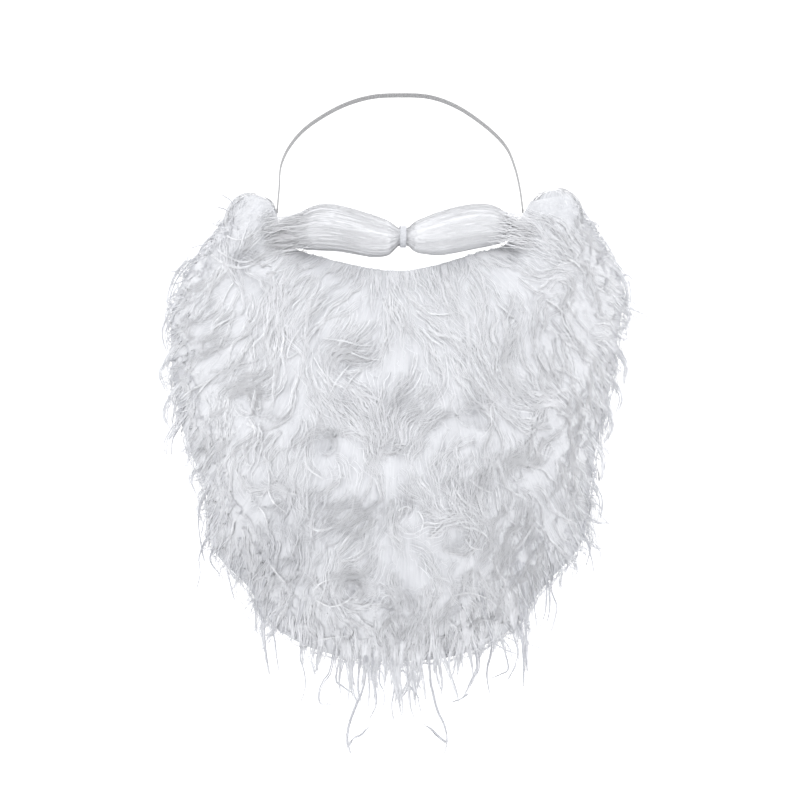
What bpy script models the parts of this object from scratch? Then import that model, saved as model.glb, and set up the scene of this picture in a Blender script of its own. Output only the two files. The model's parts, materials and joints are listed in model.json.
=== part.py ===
"""A white costume beard in the form that it has when it is worn.

The frame is in metres with +Z up. The front faces -Y, and the origin is on the wearer's upper lip,
behind the middle of the moustache. +X is the right side of the photograph.
"""

import math

import bmesh
import bpy
import numpy as np

MM = 0.001
SEAT_GAP = 0.3 * MM

# The cloth wall and how it bends round the face. Beyond BEND_END it goes straight back.
CLOTH_THICKNESS = 2.0 * MM
FACE_BEND = 4.5
BEND_END = 100.0 * MM
BEND_END_SLOPE = 0.9

# Height, how far the cloth's middle stands behind the upper lip, and the share of the bend kept there.
HANG_COLUMNS = ("height", "middle_y", "bend_share")
HANG = np.array(
    [
        [60.0, 0.0, 1.00],
        [0.0, 0.0, 1.00],
        [-30.0, -1.0, 1.00],
        [-75.0, -5.0, 0.95],
        [-150.0, -4.0, 0.80],
        [-240.0, 4.0, 0.66],
        [-340.0, 12.0, 0.55],
        [-420.0, 16.0, 0.50],
    ]
)

# Lines of growth, from the edge round the mouth to the outline, from one top corner to the other.
RAY_COLUMNS = ("inner_x", "inner_z", "outer_x", "outer_z", "thickness")
RAYS = np.array(
    [
        [-94.0, 26.0, -112.0, 30.0, 20.0],
        [-89.5, 17.0, -128.0, 11.0, 28.0],
        [-85.5, 4.0, -147.0, -13.0, 36.0],
        [-79.0, -6.0, -166.0, -45.0, 42.0],
        [-69.0, -11.0, -169.5, -81.0, 46.0],
        [-57.5, -14.0, -166.5, -118.0, 49.0],
        [-45.5, -17.5, -159.0, -152.0, 52.0],
        [-36.5, -19.5, -144.5, -192.0, 56.0],
        [-27.5, -21.5, -141.0, -234.0, 58.0],
        [-19.0, -23.0, -116.0, -266.0, 59.0],
        [-11.5, -24.0, -94.0, -303.0, 58.0],
        [-5.0, -24.3, -54.0, -326.0, 56.0],
        [1.5, -24.5, -5.0, -333.0, 55.0],
        [8.0, -24.0, 44.0, -327.0, 56.0],
        [15.0, -22.5, 86.0, -302.0, 58.0],
        [23.0, -21.0, 109.0, -266.0, 59.0],
        [31.5, -19.0, 136.0, -231.0, 58.0],
        [40.5, -16.0, 141.5, -189.0, 56.0],
        [49.0, -13.5, 147.0, -149.0, 52.0],
        [57.5, -11.0, 155.5, -113.0, 49.0],
        [66.0, -9.0, 160.5, -78.0, 46.0],
        [74.0, -6.5, 164.5, -40.0, 42.0],
        [81.0, 1.0, 152.0, -9.0, 36.0],
        [87.0, 13.0, 137.0, 12.0, 28.0],
        [94.0, 26.0, 122.0, 31.0, 20.0],
    ]
)
RAY_STEPS = 77
MASS_REACH = 0.96
FRONT_OUT = (
    (0.0, 0.04, 0.09, 0.15, 0.21, 0.27, 0.32, 0.37, 0.42)
    + (0.48, 0.55, 0.61, 0.66, 0.71, 0.78, 0.85, 0.92, 1.0)
)
CLOTH_OUT = (0.0, 0.08, 0.17, 0.27, 0.37, 0.47)
BEHIND_OUT = CLOTH_OUT + (0.65, 0.85, 1.0)

# The share of a ray's thickness at each share of its length.
PUFF_COLUMNS = ("along", "share")
PUFF = np.array(
    [
        [0.00, 0.16],
        [0.08, 0.38],
        [0.22, 0.70],
        [0.40, 0.94],
        [0.58, 1.00],
        [0.76, 0.92],
        [0.90, 0.66],
        [1.00, 0.20],
    ]
)

# Rows of locks that show as relief on the mass. Shares are of the way round and of the way out.
LAYER_COLUMNS = ("count", "out_from", "out_to", "rise", "slant", "shift")
LAYERS = np.array(
    [
        [9, 0.03, 0.42, 11.0, 0.45, 0.20],
        [11, 0.28, 0.67, 14.0, -0.40, 0.65],
        [13, 0.52, 0.93, 13.0, 0.35, 0.10],
    ]
)

# Free locks that hang past the outline.
FRINGE_COUNT = 25
FRINGE_ROUND = (0.085, 0.915)
FRINGE_OUT = (0.70, 1.0)
FRINGE_WIDTH = 19.0
FRINGE_DEPTH = 15.0
FRINGE_BEYOND = 11.0
LOCK_RINGS = 7
LOCK_SIDES = 6

# The rounded tufts at the two top corners.
TUFT_COLUMNS = ("x", "z", "half_width", "half_height", "half_depth", "lean")
TUFTS = np.array(
    [
        [-108.5, 14.0, 19.5, 20.0, 17.0, 14.0],
        [113.5, 16.5, 19.5, 19.5, 17.0, -14.0],
    ]
)

# Thin strands that hang below the tip, each with a short branch: x, z and radius at each point.
STRAND_COLUMNS = ("x", "z", "radius")
STRANDS = (
    (
        (-24.0, -300.0, 3.6),
        (-27.0, -320.0, 2.8),
        (-31.5, -338.0, 2.2),
        (-35.3, -346.3, 1.7),
        (-37.4, -356.0, 1.5),
        (-38.2, -363.6, 1.3),
        (-36.7, -371.0, 0.9),
    ),
    (
        (-36.4, -357.0, 1.2),
        (-31.5, -358.6, 1.1),
        (-27.0, -355.0, 1.0),
        (-22.3, -352.8, 0.7),
    ),
    (
        (18.0, -300.0, 3.6),
        (21.5, -320.0, 2.8),
        (26.3, -338.0, 2.2),
        (31.0, -345.6, 1.7),
        (33.8, -355.0, 1.5),
        (33.8, -363.6, 1.3),
        (31.7, -371.0, 0.9),
    ),
    (
        (32.6, -359.5, 1.2),
        (28.6, -360.0, 1.1),
        (24.5, -357.1, 1.0),
        (18.0, -352.1, 0.7),
    ),
)

# The moustache from end to end. Its back stays in front of the cloth.
MOUSTACHE_COLUMNS = ("x", "top_z", "bottom_z", "depth")
MOUSTACHE = np.array(
    [
        [-87.0, 11.0, 1.0, 8.0],
        [-82.0, 14.0, -4.5, 14.0],
        [-73.0, 17.0, -8.0, 19.0],
        [-62.0, 22.5, -9.4, 23.0],
        [-50.0, 23.8, -9.6, 25.0],
        [-36.0, 20.8, -11.4, 25.0],
        [-21.0, 16.2, -14.2, 24.0],
        [-10.0, 12.3, -13.6, 21.0],
        [-4.6, 9.0, -9.8, 16.5],
        [-1.3, 6.3, -6.1, 12.4],
        [2.2, 6.2, -6.0, 12.2],
        [5.7, 6.3, -6.1, 12.4],
        [9.0, 9.2, -9.2, 16.5],
        [14.0, 12.4, -11.6, 21.0],
        [28.0, 18.0, -13.0, 24.0],
        [41.0, 21.6, -11.0, 25.0],
        [54.0, 23.6, -8.2, 25.0],
        [66.0, 23.0, -6.0, 23.0],
        [75.0, 18.6, -3.2, 19.0],
        [81.0, 13.8, 1.4, 13.0],
        [86.0, 10.0, 4.6, 7.0],
    ]
)
MOUSTACHE_STEPS = 40
MOUSTACHE_SIDES = 14
MOUSTACHE_BACK = 2.6 * MM

# The thread round the pinch: radii of its turns, and their spacing along the moustache.
TIE_MIDDLE = (2.2 * MM, -8.8 * MM, 0.1 * MM)
TIE_INNER_RADIUS = 6.8 * MM
TIE_RIDGE = 1.9 * MM
TIE_TURNS = 3
TIE_PITCH = 2.1 * MM
TIE_STEPS = 24

# The elastic in the front view, and the tilt of the plane that it lies in.
ELASTIC_WIDTH = 3.6 * MM
ELASTIC_THICKNESS = 1.1 * MM
ELASTIC_TILT = math.radians(30.0)
ELASTIC_COLUMNS = ("x", "z")
ELASTIC = np.array(
    [
        [-88.6, 18.7],
        [-87.2, 36.0],
        [-86.0, 52.0],
        [-79.6, 66.4],
        [-66.9, 80.6],
        [-44.2, 94.8],
        [-22.0, 102.2],
        [0.0, 103.7],
        [21.6, 102.4],
        [42.0, 94.8],
        [62.4, 80.6],
        [76.2, 66.4],
        [82.6, 52.0],
        [86.4, 36.0],
        [88.6, 18.7],
    ]
)
ELASTIC_STEPS = 42

HAIR_COLOUR = (0.86, 0.87, 0.90, 1.0)
MOUSTACHE_COLOUR = (0.90, 0.91, 0.93, 1.0)
CLOTH_COLOUR = (0.80, 0.80, 0.80, 1.0)
THREAD_COLOUR = (0.62, 0.63, 0.66, 1.0)
ELASTIC_COLOUR = (0.42, 0.42, 0.43, 1.0)

# Edges that turn by more than this stay sharp.
SMOOTH_ANGLE = math.radians(50.0)


def clear_scene():
    """Remove what the startup scene holds."""
    for old in list(bpy.data.objects):
        bpy.data.objects.remove(old, do_unlink=True)


def make_collection(name, hidden):
    """Add a collection to the scene."""
    made = bpy.data.collections.new(name)
    made.hide_render = hidden
    bpy.context.scene.collection.children.link(made)
    return made


def make_material(name, colour, roughness):
    """Make a plain surface of one colour."""
    made = bpy.data.materials.new(name)
    made.use_nodes = True
    shader = made.node_tree.nodes["Principled BSDF"]
    shader.inputs["Base Color"].default_value = colour
    shader.inputs["Roughness"].default_value = roughness
    shader.inputs["Metallic"].default_value = 0.0
    made.diffuse_color = colour
    return made


def smooth_table(table, places):
    """Read every column of a table at fractional row numbers, on a curve through its rows."""
    last = len(table) - 1
    places = np.clip(np.asarray(places, float), 0.0, last)
    row = np.minimum(places.astype(int), last - 1)
    part = (places - row)[..., None]
    before = table[np.maximum(row - 1, 0)]
    start = table[row]
    end = table[row + 1]
    after = table[np.minimum(row + 2, last)]
    slope_in = (end - before) / 2
    slope_out = (after - start) / 2
    square = part * part
    cube = square * part
    return (
        (2 * cube - 3 * square + 1) * start
        + (cube - 2 * square + part) * slope_in
        + (3 * square - 2 * cube) * end
        + (cube - square) * slope_out
    )


def lookup(table, values):
    """Read a table's later columns at values of its first, smoothly."""
    first = table[:, 0]
    order = 1 if first[-1] > first[0] else -1
    rows = np.arange(len(first))
    places = np.interp(np.asarray(values, float), first[::order], rows[::order])
    return smooth_table(table[:, 1:], places)


def cloth_y(x, z):
    """Where the front of the cloth stands at a place in the front view."""
    hang = lookup(HANG, np.asarray(z) / MM)
    across = np.abs(x)
    bent = FACE_BEND * np.minimum(across, BEND_END) ** 2
    straight = BEND_END_SLOPE * np.maximum(across - BEND_END, 0.0)
    return hang[..., 0] * MM + (bent + straight) * hang[..., 1]


def ray_ends(around):
    """The inner end, the outer end and the thickness of the rays at shares of the way round."""
    row = smooth_table(RAYS, np.asarray(around) * (len(RAYS) - 1)) * MM
    return row[..., 0:2], row[..., 2:4], row[..., 4]


def relief(around, out):
    """How far the rows of locks stand out of the mass: ridges that end in rounded, steep tips."""
    tallest = np.zeros(np.broadcast(around, out).shape)
    for count, out_from, out_to, rise, slant, shift in LAYERS:
        place = around * count + slant * out + shift
        lock_number = np.floor(place)
        across = 2.0 * (place - lock_number) - 1.0
        uneven = 0.035 * np.sin(2.4 * lock_number + 5.0 * shift)
        tip = out_to + uneven - 0.07 * across ** 2
        along = np.clip((out - out_from) / np.maximum(tip - out_from, 0.01), 0.0, 1.0)
        body = np.clip(along / 0.85, 0.0, 1.0) ** 1.1
        end = np.sqrt(np.clip((1.0 - along) / 0.14, 0.0, 1.0))
        ridge = 0.25 + 0.75 * np.sqrt(np.clip(1.0 - across ** 2, 0.0, 1.0))
        tallest = np.maximum(tallest, rise * MM * body * end * ridge)
    return tallest


def hair_point(around, out, lift=0.0):
    """A point on the front of the mass, moved forward by lift."""
    around, out = np.broadcast_arrays(np.asarray(around, float), np.asarray(out, float))
    inner, outer, thickness = ray_ends(around)
    inside = np.clip(out, 0.0, 1.0)[..., None]
    flat = inner + (outer - inner) * inside
    share = lookup(PUFF, np.clip(out, 0.0, 1.0))[..., 0]
    x = flat[..., 0]
    z = flat[..., 1]
    y = cloth_y(x, z) - thickness * share - relief(around, out) - lift
    return np.stack([x, y, z], axis=-1)


def make_object(name, collection, points, faces, material=None):
    """Make a mesh object from points and faces, with its faces turned outwards."""
    mesh = bpy.data.meshes.new(name)
    mesh.from_pydata([tuple(point) for point in points], [], [tuple(face) for face in faces])
    work = bmesh.new()
    work.from_mesh(mesh)
    bmesh.ops.recalc_face_normals(work, faces=work.faces)
    bmesh.ops.triangulate(work, faces=work.faces)
    work.to_mesh(mesh)
    work.free()
    made = bpy.data.objects.new(name, mesh)
    collection.objects.link(made)
    if material is not None:
        made.data.materials.append(material)
    return made


def loft(rings):
    """Join closed rings of equal count into one closed surface, with a fan at each end."""
    count = len(rings)
    sides = len(rings[0])
    points = np.concatenate([np.concatenate(rings), [np.mean(rings[0], 0), np.mean(rings[-1], 0)]])
    faces = []
    for ring in range(count - 1):
        for side in range(sides):
            after = (side + 1) % sides
            low = ring * sides
            high = low + sides
            faces.append((low + side, low + after, high + after))
            faces.append((low + side, high + after, high + side))
    start = count * sides
    end = start + 1
    top = (count - 1) * sides
    for side in range(sides):
        after = (side + 1) % sides
        faces.append((after, side, start))
        faces.append((top + side, top + after, end))
    return points, faces


def loft_sheet(rings):
    """Join rings that lie in planes into one closed wall with flat ends."""
    points, faces = loft(rings)
    sides = len(rings[0])
    whole = len(rings) * sides
    faces = [face for face in faces if max(face) < whole]
    faces.append(tuple(range(sides - 1, -1, -1)))
    faces.append(tuple(range(whole - sides, whole)))
    return points[:whole], faces


def wall_rings(arounds, first_out, first_y, second_out, second_y):
    """Closed rings round the way: one sheet outwards along each ray, and the other back inwards."""
    rings = []
    for around in arounds:
        inner, outer, thickness = ray_ends(around)
        ring = []
        for out, y_rule in ((np.array(first_out), first_y), (np.array(second_out)[::-1], second_y)):
            flat = inner + (outer - inner) * MASS_REACH * out[:, None]
            base = cloth_y(flat[:, 0], flat[:, 1])
            ring.append(np.stack([flat[:, 0], y_rule(base, around, out, thickness), flat[:, 1]], axis=1))
        rings.append(np.concatenate(ring))
    return rings


def puffed_front(base, around, out, thickness):
    """The front of the fibre: the puff along a ray plus the relief of its locks."""
    return base - thickness * lookup(PUFF, out)[:, 0] - relief(around, out)


def make_backing(collection):
    """The cloth wall: the inner part of every ray, one cloth thick."""
    rings = wall_rings(
        np.linspace(0.0, 1.0, RAY_STEPS)[::2],
        CLOTH_OUT,
        lambda base, around, out, thickness: base + CLOTH_THICKNESS,
        CLOTH_OUT,
        lambda base, around, out, thickness: base,
    )
    points, faces = loft_sheet(rings)
    material = make_material("backing_cloth", CLOTH_COLOUR, 0.95)
    return make_object("cloth_backing", collection, points, faces, material)


def fringe_lock(start, width, depth, beyond, bend, phase):
    """One tapered lock that starts inside the mass, follows it and turns down past the outline."""
    share = np.linspace(0.0, 1.0, LOCK_RINGS)
    around = start + bend * share + 0.007 * share * np.sin(2 * math.pi * share + phase)
    out = FRINGE_OUT[0] + (FRINGE_OUT[1] - FRINGE_OUT[0]) * share
    path = hair_point(around, out, -0.3 * depth)
    fall = np.clip((share - 0.55) / 0.45, 0.0, 1.0) ** 1.6
    path[:, 2] -= beyond * fall
    path[:, 0] += np.sign(path[:, 0]) * np.minimum(np.abs(path[:, 0]) / 0.12, 1.0) * 0.35 * beyond * fall
    shape = np.interp(share, (0.0, 0.15, 0.4, 0.7, 1.0), (0.35, 0.8, 1.0, 0.7, 0.12))
    half_width = 0.5 * width * shape
    half_depth = 0.5 * depth * shape
    along = np.gradient(path, axis=0)
    along /= np.linalg.norm(along, axis=1)[:, None]
    across = np.cross(along, (0.0, -1.0, 0.0))
    across /= np.linalg.norm(across, axis=1)[:, None]
    up = np.cross(across, along)
    angles = np.linspace(0.0, 2 * math.pi, LOCK_SIDES, endpoint=False)
    rings = []
    for place, side, front, wide, high in zip(path, across, up, half_width, half_depth):
        rings.append(place + wide * np.cos(angles)[:, None] * side + high * np.sin(angles)[:, None] * front)
    return loft(rings)


def make_fringe():
    """The locks along the outline, evenly spread with a little seeded variation."""
    chance = np.random.default_rng(11)
    made = []
    for start in np.linspace(FRINGE_ROUND[0], FRINGE_ROUND[1], FRINGE_COUNT):
        made.append(
            fringe_lock(
                start + chance.uniform(-0.006, 0.006),
                FRINGE_WIDTH * MM * chance.uniform(0.75, 1.35),
                FRINGE_DEPTH * MM * chance.uniform(0.85, 1.2),
                FRINGE_BEYOND * MM * chance.uniform(0.5, 1.6),
                chance.uniform(-0.016, 0.016),
                chance.uniform(0.0, 6.28),
            )
        )
    return made


def mesh_data(work):
    """The points and faces of an edit mesh, which is then freed."""
    work.verts.ensure_lookup_table()
    work.verts.index_update()
    points = np.array([tuple(vertex.co) for vertex in work.verts])
    faces = [tuple(vertex.index for vertex in face.verts) for face in work.faces]
    work.free()
    return points, faces


def make_tuft(row):
    """A rounded tuft: a sphere stretched, leaned towards the strap and pressed flat against the cloth."""
    x, z, half_width, half_height, half_depth, lean = row
    turn = math.radians(lean)
    work = bmesh.new()
    bmesh.ops.create_uvsphere(work, u_segments=12, v_segments=9, radius=1.0)
    points, faces = mesh_data(work)
    wide = points * (half_width, half_depth, half_height)
    leaned_x = wide[:, 0] * math.cos(turn) + wide[:, 2] * math.sin(turn)
    leaned_z = wide[:, 2] * math.cos(turn) - wide[:, 0] * math.sin(turn)
    world_x = (x + leaned_x) * MM
    world_z = (z + leaned_z) * MM
    middle_y = cloth_y(x * MM, z * MM) - 0.55 * half_depth * MM
    world_y = np.minimum(middle_y + wide[:, 1] * MM, cloth_y(world_x, world_z) - 2 * SEAT_GAP)
    return np.stack([world_x, world_y, world_z], axis=1), faces


def swept_curve(name, collection, points, radii, depth=0.0, section=None, flat=False):
    """A curve with a round bevel, or with its own section, made into a closed mesh object."""
    path = bpy.data.curves.new(name, "CURVE")
    path.dimensions = "2D" if flat else "3D"
    line = path.splines.new("POLY")
    line.points.add(len(points) - 1)
    for place, point, radius in zip(line.points, points, radii):
        place.co = (point[0], point[1], point[2], 1.0)
        place.radius = radius
    if section is None:
        path.bevel_depth = depth
        path.bevel_resolution = 1
    else:
        path.bevel_mode = "OBJECT"
        path.bevel_object = section
    path.use_fill_caps = True
    guide = bpy.data.objects.new(name, path)
    collection.objects.link(guide)
    bpy.context.view_layer.update()
    graph = bpy.context.evaluated_depsgraph_get()
    mesh = bpy.data.meshes.new_from_object(guide.evaluated_get(graph))
    bpy.data.objects.remove(guide, do_unlink=True)
    work = bmesh.new()
    work.from_mesh(mesh)
    bmesh.ops.remove_doubles(work, verts=work.verts, dist=0.00001)
    bmesh.ops.recalc_face_normals(work, faces=work.faces)
    bmesh.ops.triangulate(work, faces=work.faces)
    work.to_mesh(mesh)
    work.free()
    made = bpy.data.objects.new(name, mesh)
    collection.objects.link(made)
    return made


def make_strands(collection):
    """The thin strands below the tip and their branches."""
    made = []
    for number, rows in enumerate(STRANDS):
        table = np.array(rows)
        read = smooth_table(table, np.linspace(0, len(table) - 1, 2 * len(table) + 2))
        x = read[:, 0] * MM
        z = read[:, 1] * MM
        y = cloth_y(x, np.maximum(z, -330.0 * MM)) - 7.0 * MM
        path = np.stack([x, y, z], axis=1)
        made.append(swept_curve(f"thin_strand_{number}", collection, path, read[:, 2], depth=MM))
    return made


def moustache_rings(grow):
    """Oval rings along the moustache, made larger by grow."""
    rows = smooth_table(MOUSTACHE, np.linspace(0, len(MOUSTACHE) - 1, MOUSTACHE_STEPS)) * MM
    angles = np.linspace(0.0, 2 * math.pi, MOUSTACHE_SIDES, endpoint=False)
    rings = []
    for place, (x, top, bottom, depth) in enumerate(rows):
        half_height = 0.5 * (top - bottom) + grow
        half_depth = 0.5 * depth + grow
        middle_y = float(cloth_y(x, 0.0)) - MOUSTACHE_BACK - 0.5 * depth
        if place == 0:
            x = x - grow
        if place == len(rows) - 1:
            x = x + grow
        ring_x = np.full(MOUSTACHE_SIDES, x)
        ring_y = middle_y + half_depth * np.sin(angles)
        ring_z = 0.5 * (top + bottom) + half_height * np.cos(angles)
        rings.append(np.stack([ring_x, ring_y, ring_z], axis=1))
    return rings


def make_tie(collection):
    """Turns of thread round the pinch, as one ridged ring turned about the moustache's length."""
    profile = []
    half = 0.5 * TIE_TURNS * TIE_PITCH
    for place in np.linspace(-half, half, 4 * TIE_TURNS + 1):
        ridge = abs(math.sin(math.pi * (place + half) / TIE_PITCH)) ** 0.6
        radius = TIE_INNER_RADIUS + TIE_RIDGE * (0.45 + 0.55 * ridge)
        profile.append((place, radius))
    profile.append((half, TIE_INNER_RADIUS))
    profile.append((-half, TIE_INNER_RADIUS))
    mesh = bpy.data.meshes.new("moustache_tie")
    points = [(place, 0.0, radius) for place, radius in profile]
    edges = [(i, (i + 1) % len(points)) for i in range(len(points))]
    mesh.from_pydata(points, edges, [])
    made = bpy.data.objects.new("moustache_tie", mesh)
    collection.objects.link(made)
    made.location = TIE_MIDDLE
    turn = made.modifiers.new("Turn", "SCREW")
    turn.axis = "X"
    turn.steps = TIE_STEPS
    turn.render_steps = TIE_STEPS
    turn.use_merge_vertices = True
    turn.merge_threshold = 0.00001
    turn.use_normal_calculate = True
    made.data.materials.append(make_material("tie_thread", THREAD_COLOUR, 0.8))
    return made


def elastic_section():
    """The flat outline that is swept to make the elastic: a bar with its corners cut."""
    thick = 0.5 * ELASTIC_THICKNESS
    wide = 0.5 * ELASTIC_WIDTH
    quarter = [(thick, 0.8 * wide), (0.5 * thick, wide)]
    upper = quarter + [(-x, y) for x, y in reversed(quarter)]
    outline = upper + [(-x, -y) for x, y in upper]
    section = bpy.data.curves.new("elastic_section", "CURVE")
    section.dimensions = "2D"
    line = section.splines.new("POLY")
    line.points.add(len(outline) - 1)
    for place, (x, y) in zip(line.points, outline):
        place.co = (x, y, 0.0, 1.0)
    line.use_cyclic_u = True
    return bpy.data.objects.new("elastic_section", section)


def make_elastic(collection):
    """A flat band swept along a curve that lies in one tilted plane."""
    rows = smooth_table(ELASTIC, np.linspace(0, len(ELASTIC) - 1, ELASTIC_STEPS)) * MM
    end_z = ELASTIC[0, 1] * MM
    along_plane = (rows[:, 1] - end_z) / math.sin(ELASTIC_TILT)
    path = np.stack([rows[:, 0], along_plane, np.zeros(len(rows))], axis=1)
    section = elastic_section()
    made = swept_curve("elastic_band", collection, path, np.ones(len(path)), section=section, flat=True)
    bpy.data.objects.remove(section, do_unlink=True)
    made.data.materials.clear()
    made.data.materials.append(make_material("elastic_weave", ELASTIC_COLOUR, 0.7))
    made.rotation_euler = (ELASTIC_TILT, 0.0, 0.0)
    end_y = float(cloth_y(ELASTIC[0, 0] * MM, end_z)) + CLOTH_THICKNESS + SEAT_GAP
    end_y += 0.5 * ELASTIC_WIDTH * math.sin(ELASTIC_TILT)
    made.location = (0.0, end_y, end_z)
    return made


def add_boolean(target, operation, other):
    """Add an exact Boolean to an object."""
    step = target.modifiers.new(operation.title(), "BOOLEAN")
    step.operation = operation
    step.solver = "EXACT"
    step.use_self = True
    step.object = other
    return step


def shell_volume(faces):
    """The signed volume inside a set of triangles."""
    total = 0.0
    for face in faces:
        first, second, third = (corner.co for corner in face.verts)
        total += first.dot(second.cross(third)) / 6.0
    return total


def keep_outer_shell(target):
    """Work out an object's Booleans and drop the pockets that locks close off against the mass."""
    bpy.context.view_layer.update()
    graph = bpy.context.evaluated_depsgraph_get()
    mesh = bpy.data.meshes.new_from_object(target.evaluated_get(graph))
    work = bmesh.new()
    work.from_mesh(mesh)
    bmesh.ops.remove_doubles(work, verts=work.verts, dist=0.00002)
    bmesh.ops.triangulate(work, faces=work.faces)
    left = set(work.faces)
    shells = []
    while left:
        shell = set()
        waiting = [left.pop()]
        while waiting:
            face = waiting.pop()
            shell.add(face)
            for edge in face.edges:
                for other in edge.link_faces:
                    if other in left:
                        left.discard(other)
                        waiting.append(other)
        shells.append(shell)
    largest = max(shells, key=shell_volume)
    inner = [face for shell in shells if shell is not largest for face in shell]
    bmesh.ops.delete(work, geom=inner, context="FACES")
    work.to_mesh(mesh)
    work.free()
    target.modifiers.clear()
    target.data = mesh


def make_hair(collection, cutters):
    """The mass of fibre with its locks, tufts and strands joined on, and a bed for the moustache."""
    gap = 1.3 * SEAT_GAP
    rings = wall_rings(
        np.linspace(0.0, 1.0, RAY_STEPS),
        FRONT_OUT,
        puffed_front,
        BEHIND_OUT,
        lambda base, around, out, thickness: base - gap,
    )
    points, faces = loft_sheet(rings)
    material = make_material("beard_fibre", HAIR_COLOUR, 0.9)
    hair = make_object("beard_hair", collection, points, faces, material)
    shapes = []
    for number, (shape_points, shape_faces) in enumerate(make_fringe()):
        shapes.append(make_object(f"fringe_lock_{number:02d}", cutters, shape_points, shape_faces))
    for number, row in enumerate(TUFTS):
        shape_points, shape_faces = make_tuft(row)
        shapes.append(make_object(f"corner_tuft_{number}", cutters, shape_points, shape_faces))
    shapes.extend(make_strands(cutters))
    for shape in shapes:
        add_boolean(hair, "UNION", shape)
        keep_outer_shell(hair)
    bed_points, bed_faces = loft(moustache_rings(SEAT_GAP))
    bed = make_object("moustache_bed", cutters, bed_points, bed_faces)
    add_boolean(hair, "DIFFERENCE", bed)
    keep_outer_shell(hair)
    return hair


def shade(piece):
    """Shade an object's round surfaces smooth and keep its clear edges sharp."""
    piece.data.shade_smooth()
    if piece.data.edges and piece.data.polygons:
        piece.data.set_sharp_from_angle(angle=SMOOTH_ANGLE)


def main():
    """Build every piece."""
    clear_scene()
    bpy.context.scene.unit_settings.scale_length = 1.0
    beard = make_collection("fake_beard", False)
    cutters = make_collection("helpers", True)
    make_backing(beard)
    make_hair(beard, cutters)
    points, faces = loft(moustache_rings(0.0))
    material = make_material("moustache_fibre", MOUSTACHE_COLOUR, 0.85)
    make_object("moustache", beard, points, faces, material)
    make_tie(beard)
    make_elastic(beard)
    for piece in beard.objects:
        shade(piece)
    for helper in cutters.objects:
        helper.display_type = "WIRE"
        helper.hide_render = True


main()
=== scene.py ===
# %% [markdown]
# # A white costume beard
# The beard is loose white fibre sewn to a curved cloth, with a moustache tied in the middle and a thin
# elastic that goes round the back of the head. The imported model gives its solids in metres, with +Z up,
# the front towards -Y and the origin on the upper lip, so every new piece is worked out in that frame.

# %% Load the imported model
import json
import math

import bpy
import numpy as np
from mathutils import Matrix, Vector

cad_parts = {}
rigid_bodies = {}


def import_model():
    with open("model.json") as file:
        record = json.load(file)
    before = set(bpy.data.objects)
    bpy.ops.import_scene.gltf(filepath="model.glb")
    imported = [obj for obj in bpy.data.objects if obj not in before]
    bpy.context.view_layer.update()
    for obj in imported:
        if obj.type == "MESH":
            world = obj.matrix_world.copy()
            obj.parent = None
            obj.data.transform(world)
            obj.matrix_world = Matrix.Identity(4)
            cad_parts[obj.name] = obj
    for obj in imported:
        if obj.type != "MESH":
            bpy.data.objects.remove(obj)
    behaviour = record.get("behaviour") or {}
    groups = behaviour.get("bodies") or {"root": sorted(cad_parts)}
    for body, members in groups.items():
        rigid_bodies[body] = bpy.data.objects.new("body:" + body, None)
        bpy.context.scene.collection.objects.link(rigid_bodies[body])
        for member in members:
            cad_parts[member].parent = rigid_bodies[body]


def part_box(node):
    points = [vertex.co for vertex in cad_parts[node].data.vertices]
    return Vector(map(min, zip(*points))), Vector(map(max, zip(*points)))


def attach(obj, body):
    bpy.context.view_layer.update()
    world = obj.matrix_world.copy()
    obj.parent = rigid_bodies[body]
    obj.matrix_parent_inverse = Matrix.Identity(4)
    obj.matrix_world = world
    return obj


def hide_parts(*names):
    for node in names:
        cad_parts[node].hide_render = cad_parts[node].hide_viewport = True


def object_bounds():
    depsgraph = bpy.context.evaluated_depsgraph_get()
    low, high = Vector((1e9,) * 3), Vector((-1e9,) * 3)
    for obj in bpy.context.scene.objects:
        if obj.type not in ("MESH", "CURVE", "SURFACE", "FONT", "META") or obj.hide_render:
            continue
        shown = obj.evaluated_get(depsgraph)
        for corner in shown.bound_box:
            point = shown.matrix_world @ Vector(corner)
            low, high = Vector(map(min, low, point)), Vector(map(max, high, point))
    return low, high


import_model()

cad_box = [[float(value) for value in corner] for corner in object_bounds()]
MM = 0.001
print("CAD box in mm:", [[round(value / MM, 1) for value in corner] for corner in cad_box])

# %% [markdown]
# ## The camera
# The photograph shows the beard from straight in front, with hardly any perspective: the top of the
# elastic stands as high in it as a flat drawing would show it. A very long lens from far away does the
# same, and it keeps every size in the picture true. One pixel of the 800 pixel square covers 0.72 mm,
# and the upper lip lies 237 pixels below the top edge, which gives the height that the camera looks at.

# %% Camera
PIXEL = 0.72 * MM
PHOTO_SIDE = 800
LIP_ROW = 237
LOOK_HEIGHT = (LIP_ROW - PHOTO_SIDE / 2) * PIXEL
CAMERA_DISTANCE = 24.0

camera_data = bpy.data.cameras.new("photo_camera")
camera_data.sensor_width = 36.0
camera_data.lens = camera_data.sensor_width * CAMERA_DISTANCE / (PHOTO_SIDE * PIXEL)
camera_data.clip_end = 2.5 * CAMERA_DISTANCE
camera = bpy.data.objects.new("photo_camera", camera_data)
camera.location = (0.0, -CAMERA_DISTANCE, LOOK_HEIGHT)
camera.rotation_euler = (math.pi / 2, 0.0, 0.0)
bpy.context.scene.collection.objects.link(camera)
bpy.context.scene.camera = camera
print(f"lens {camera_data.lens:.0f} mm, looking at {LOOK_HEIGHT / MM:.0f} mm")

# %% [markdown]
# ## Helpers for meshes
# Every piece below is a grid of points, or many small ones, computed as whole arrays, because adding
# thousands of points one by one would take minutes. One helper puts points and faces into a mesh, two
# number the faces of a tube, and the others store a number on each point or read a table.

# %% Mesh helpers
# A full turn in radians, near enough for random headings and waves
FULL_TURN = 6.28


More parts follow.
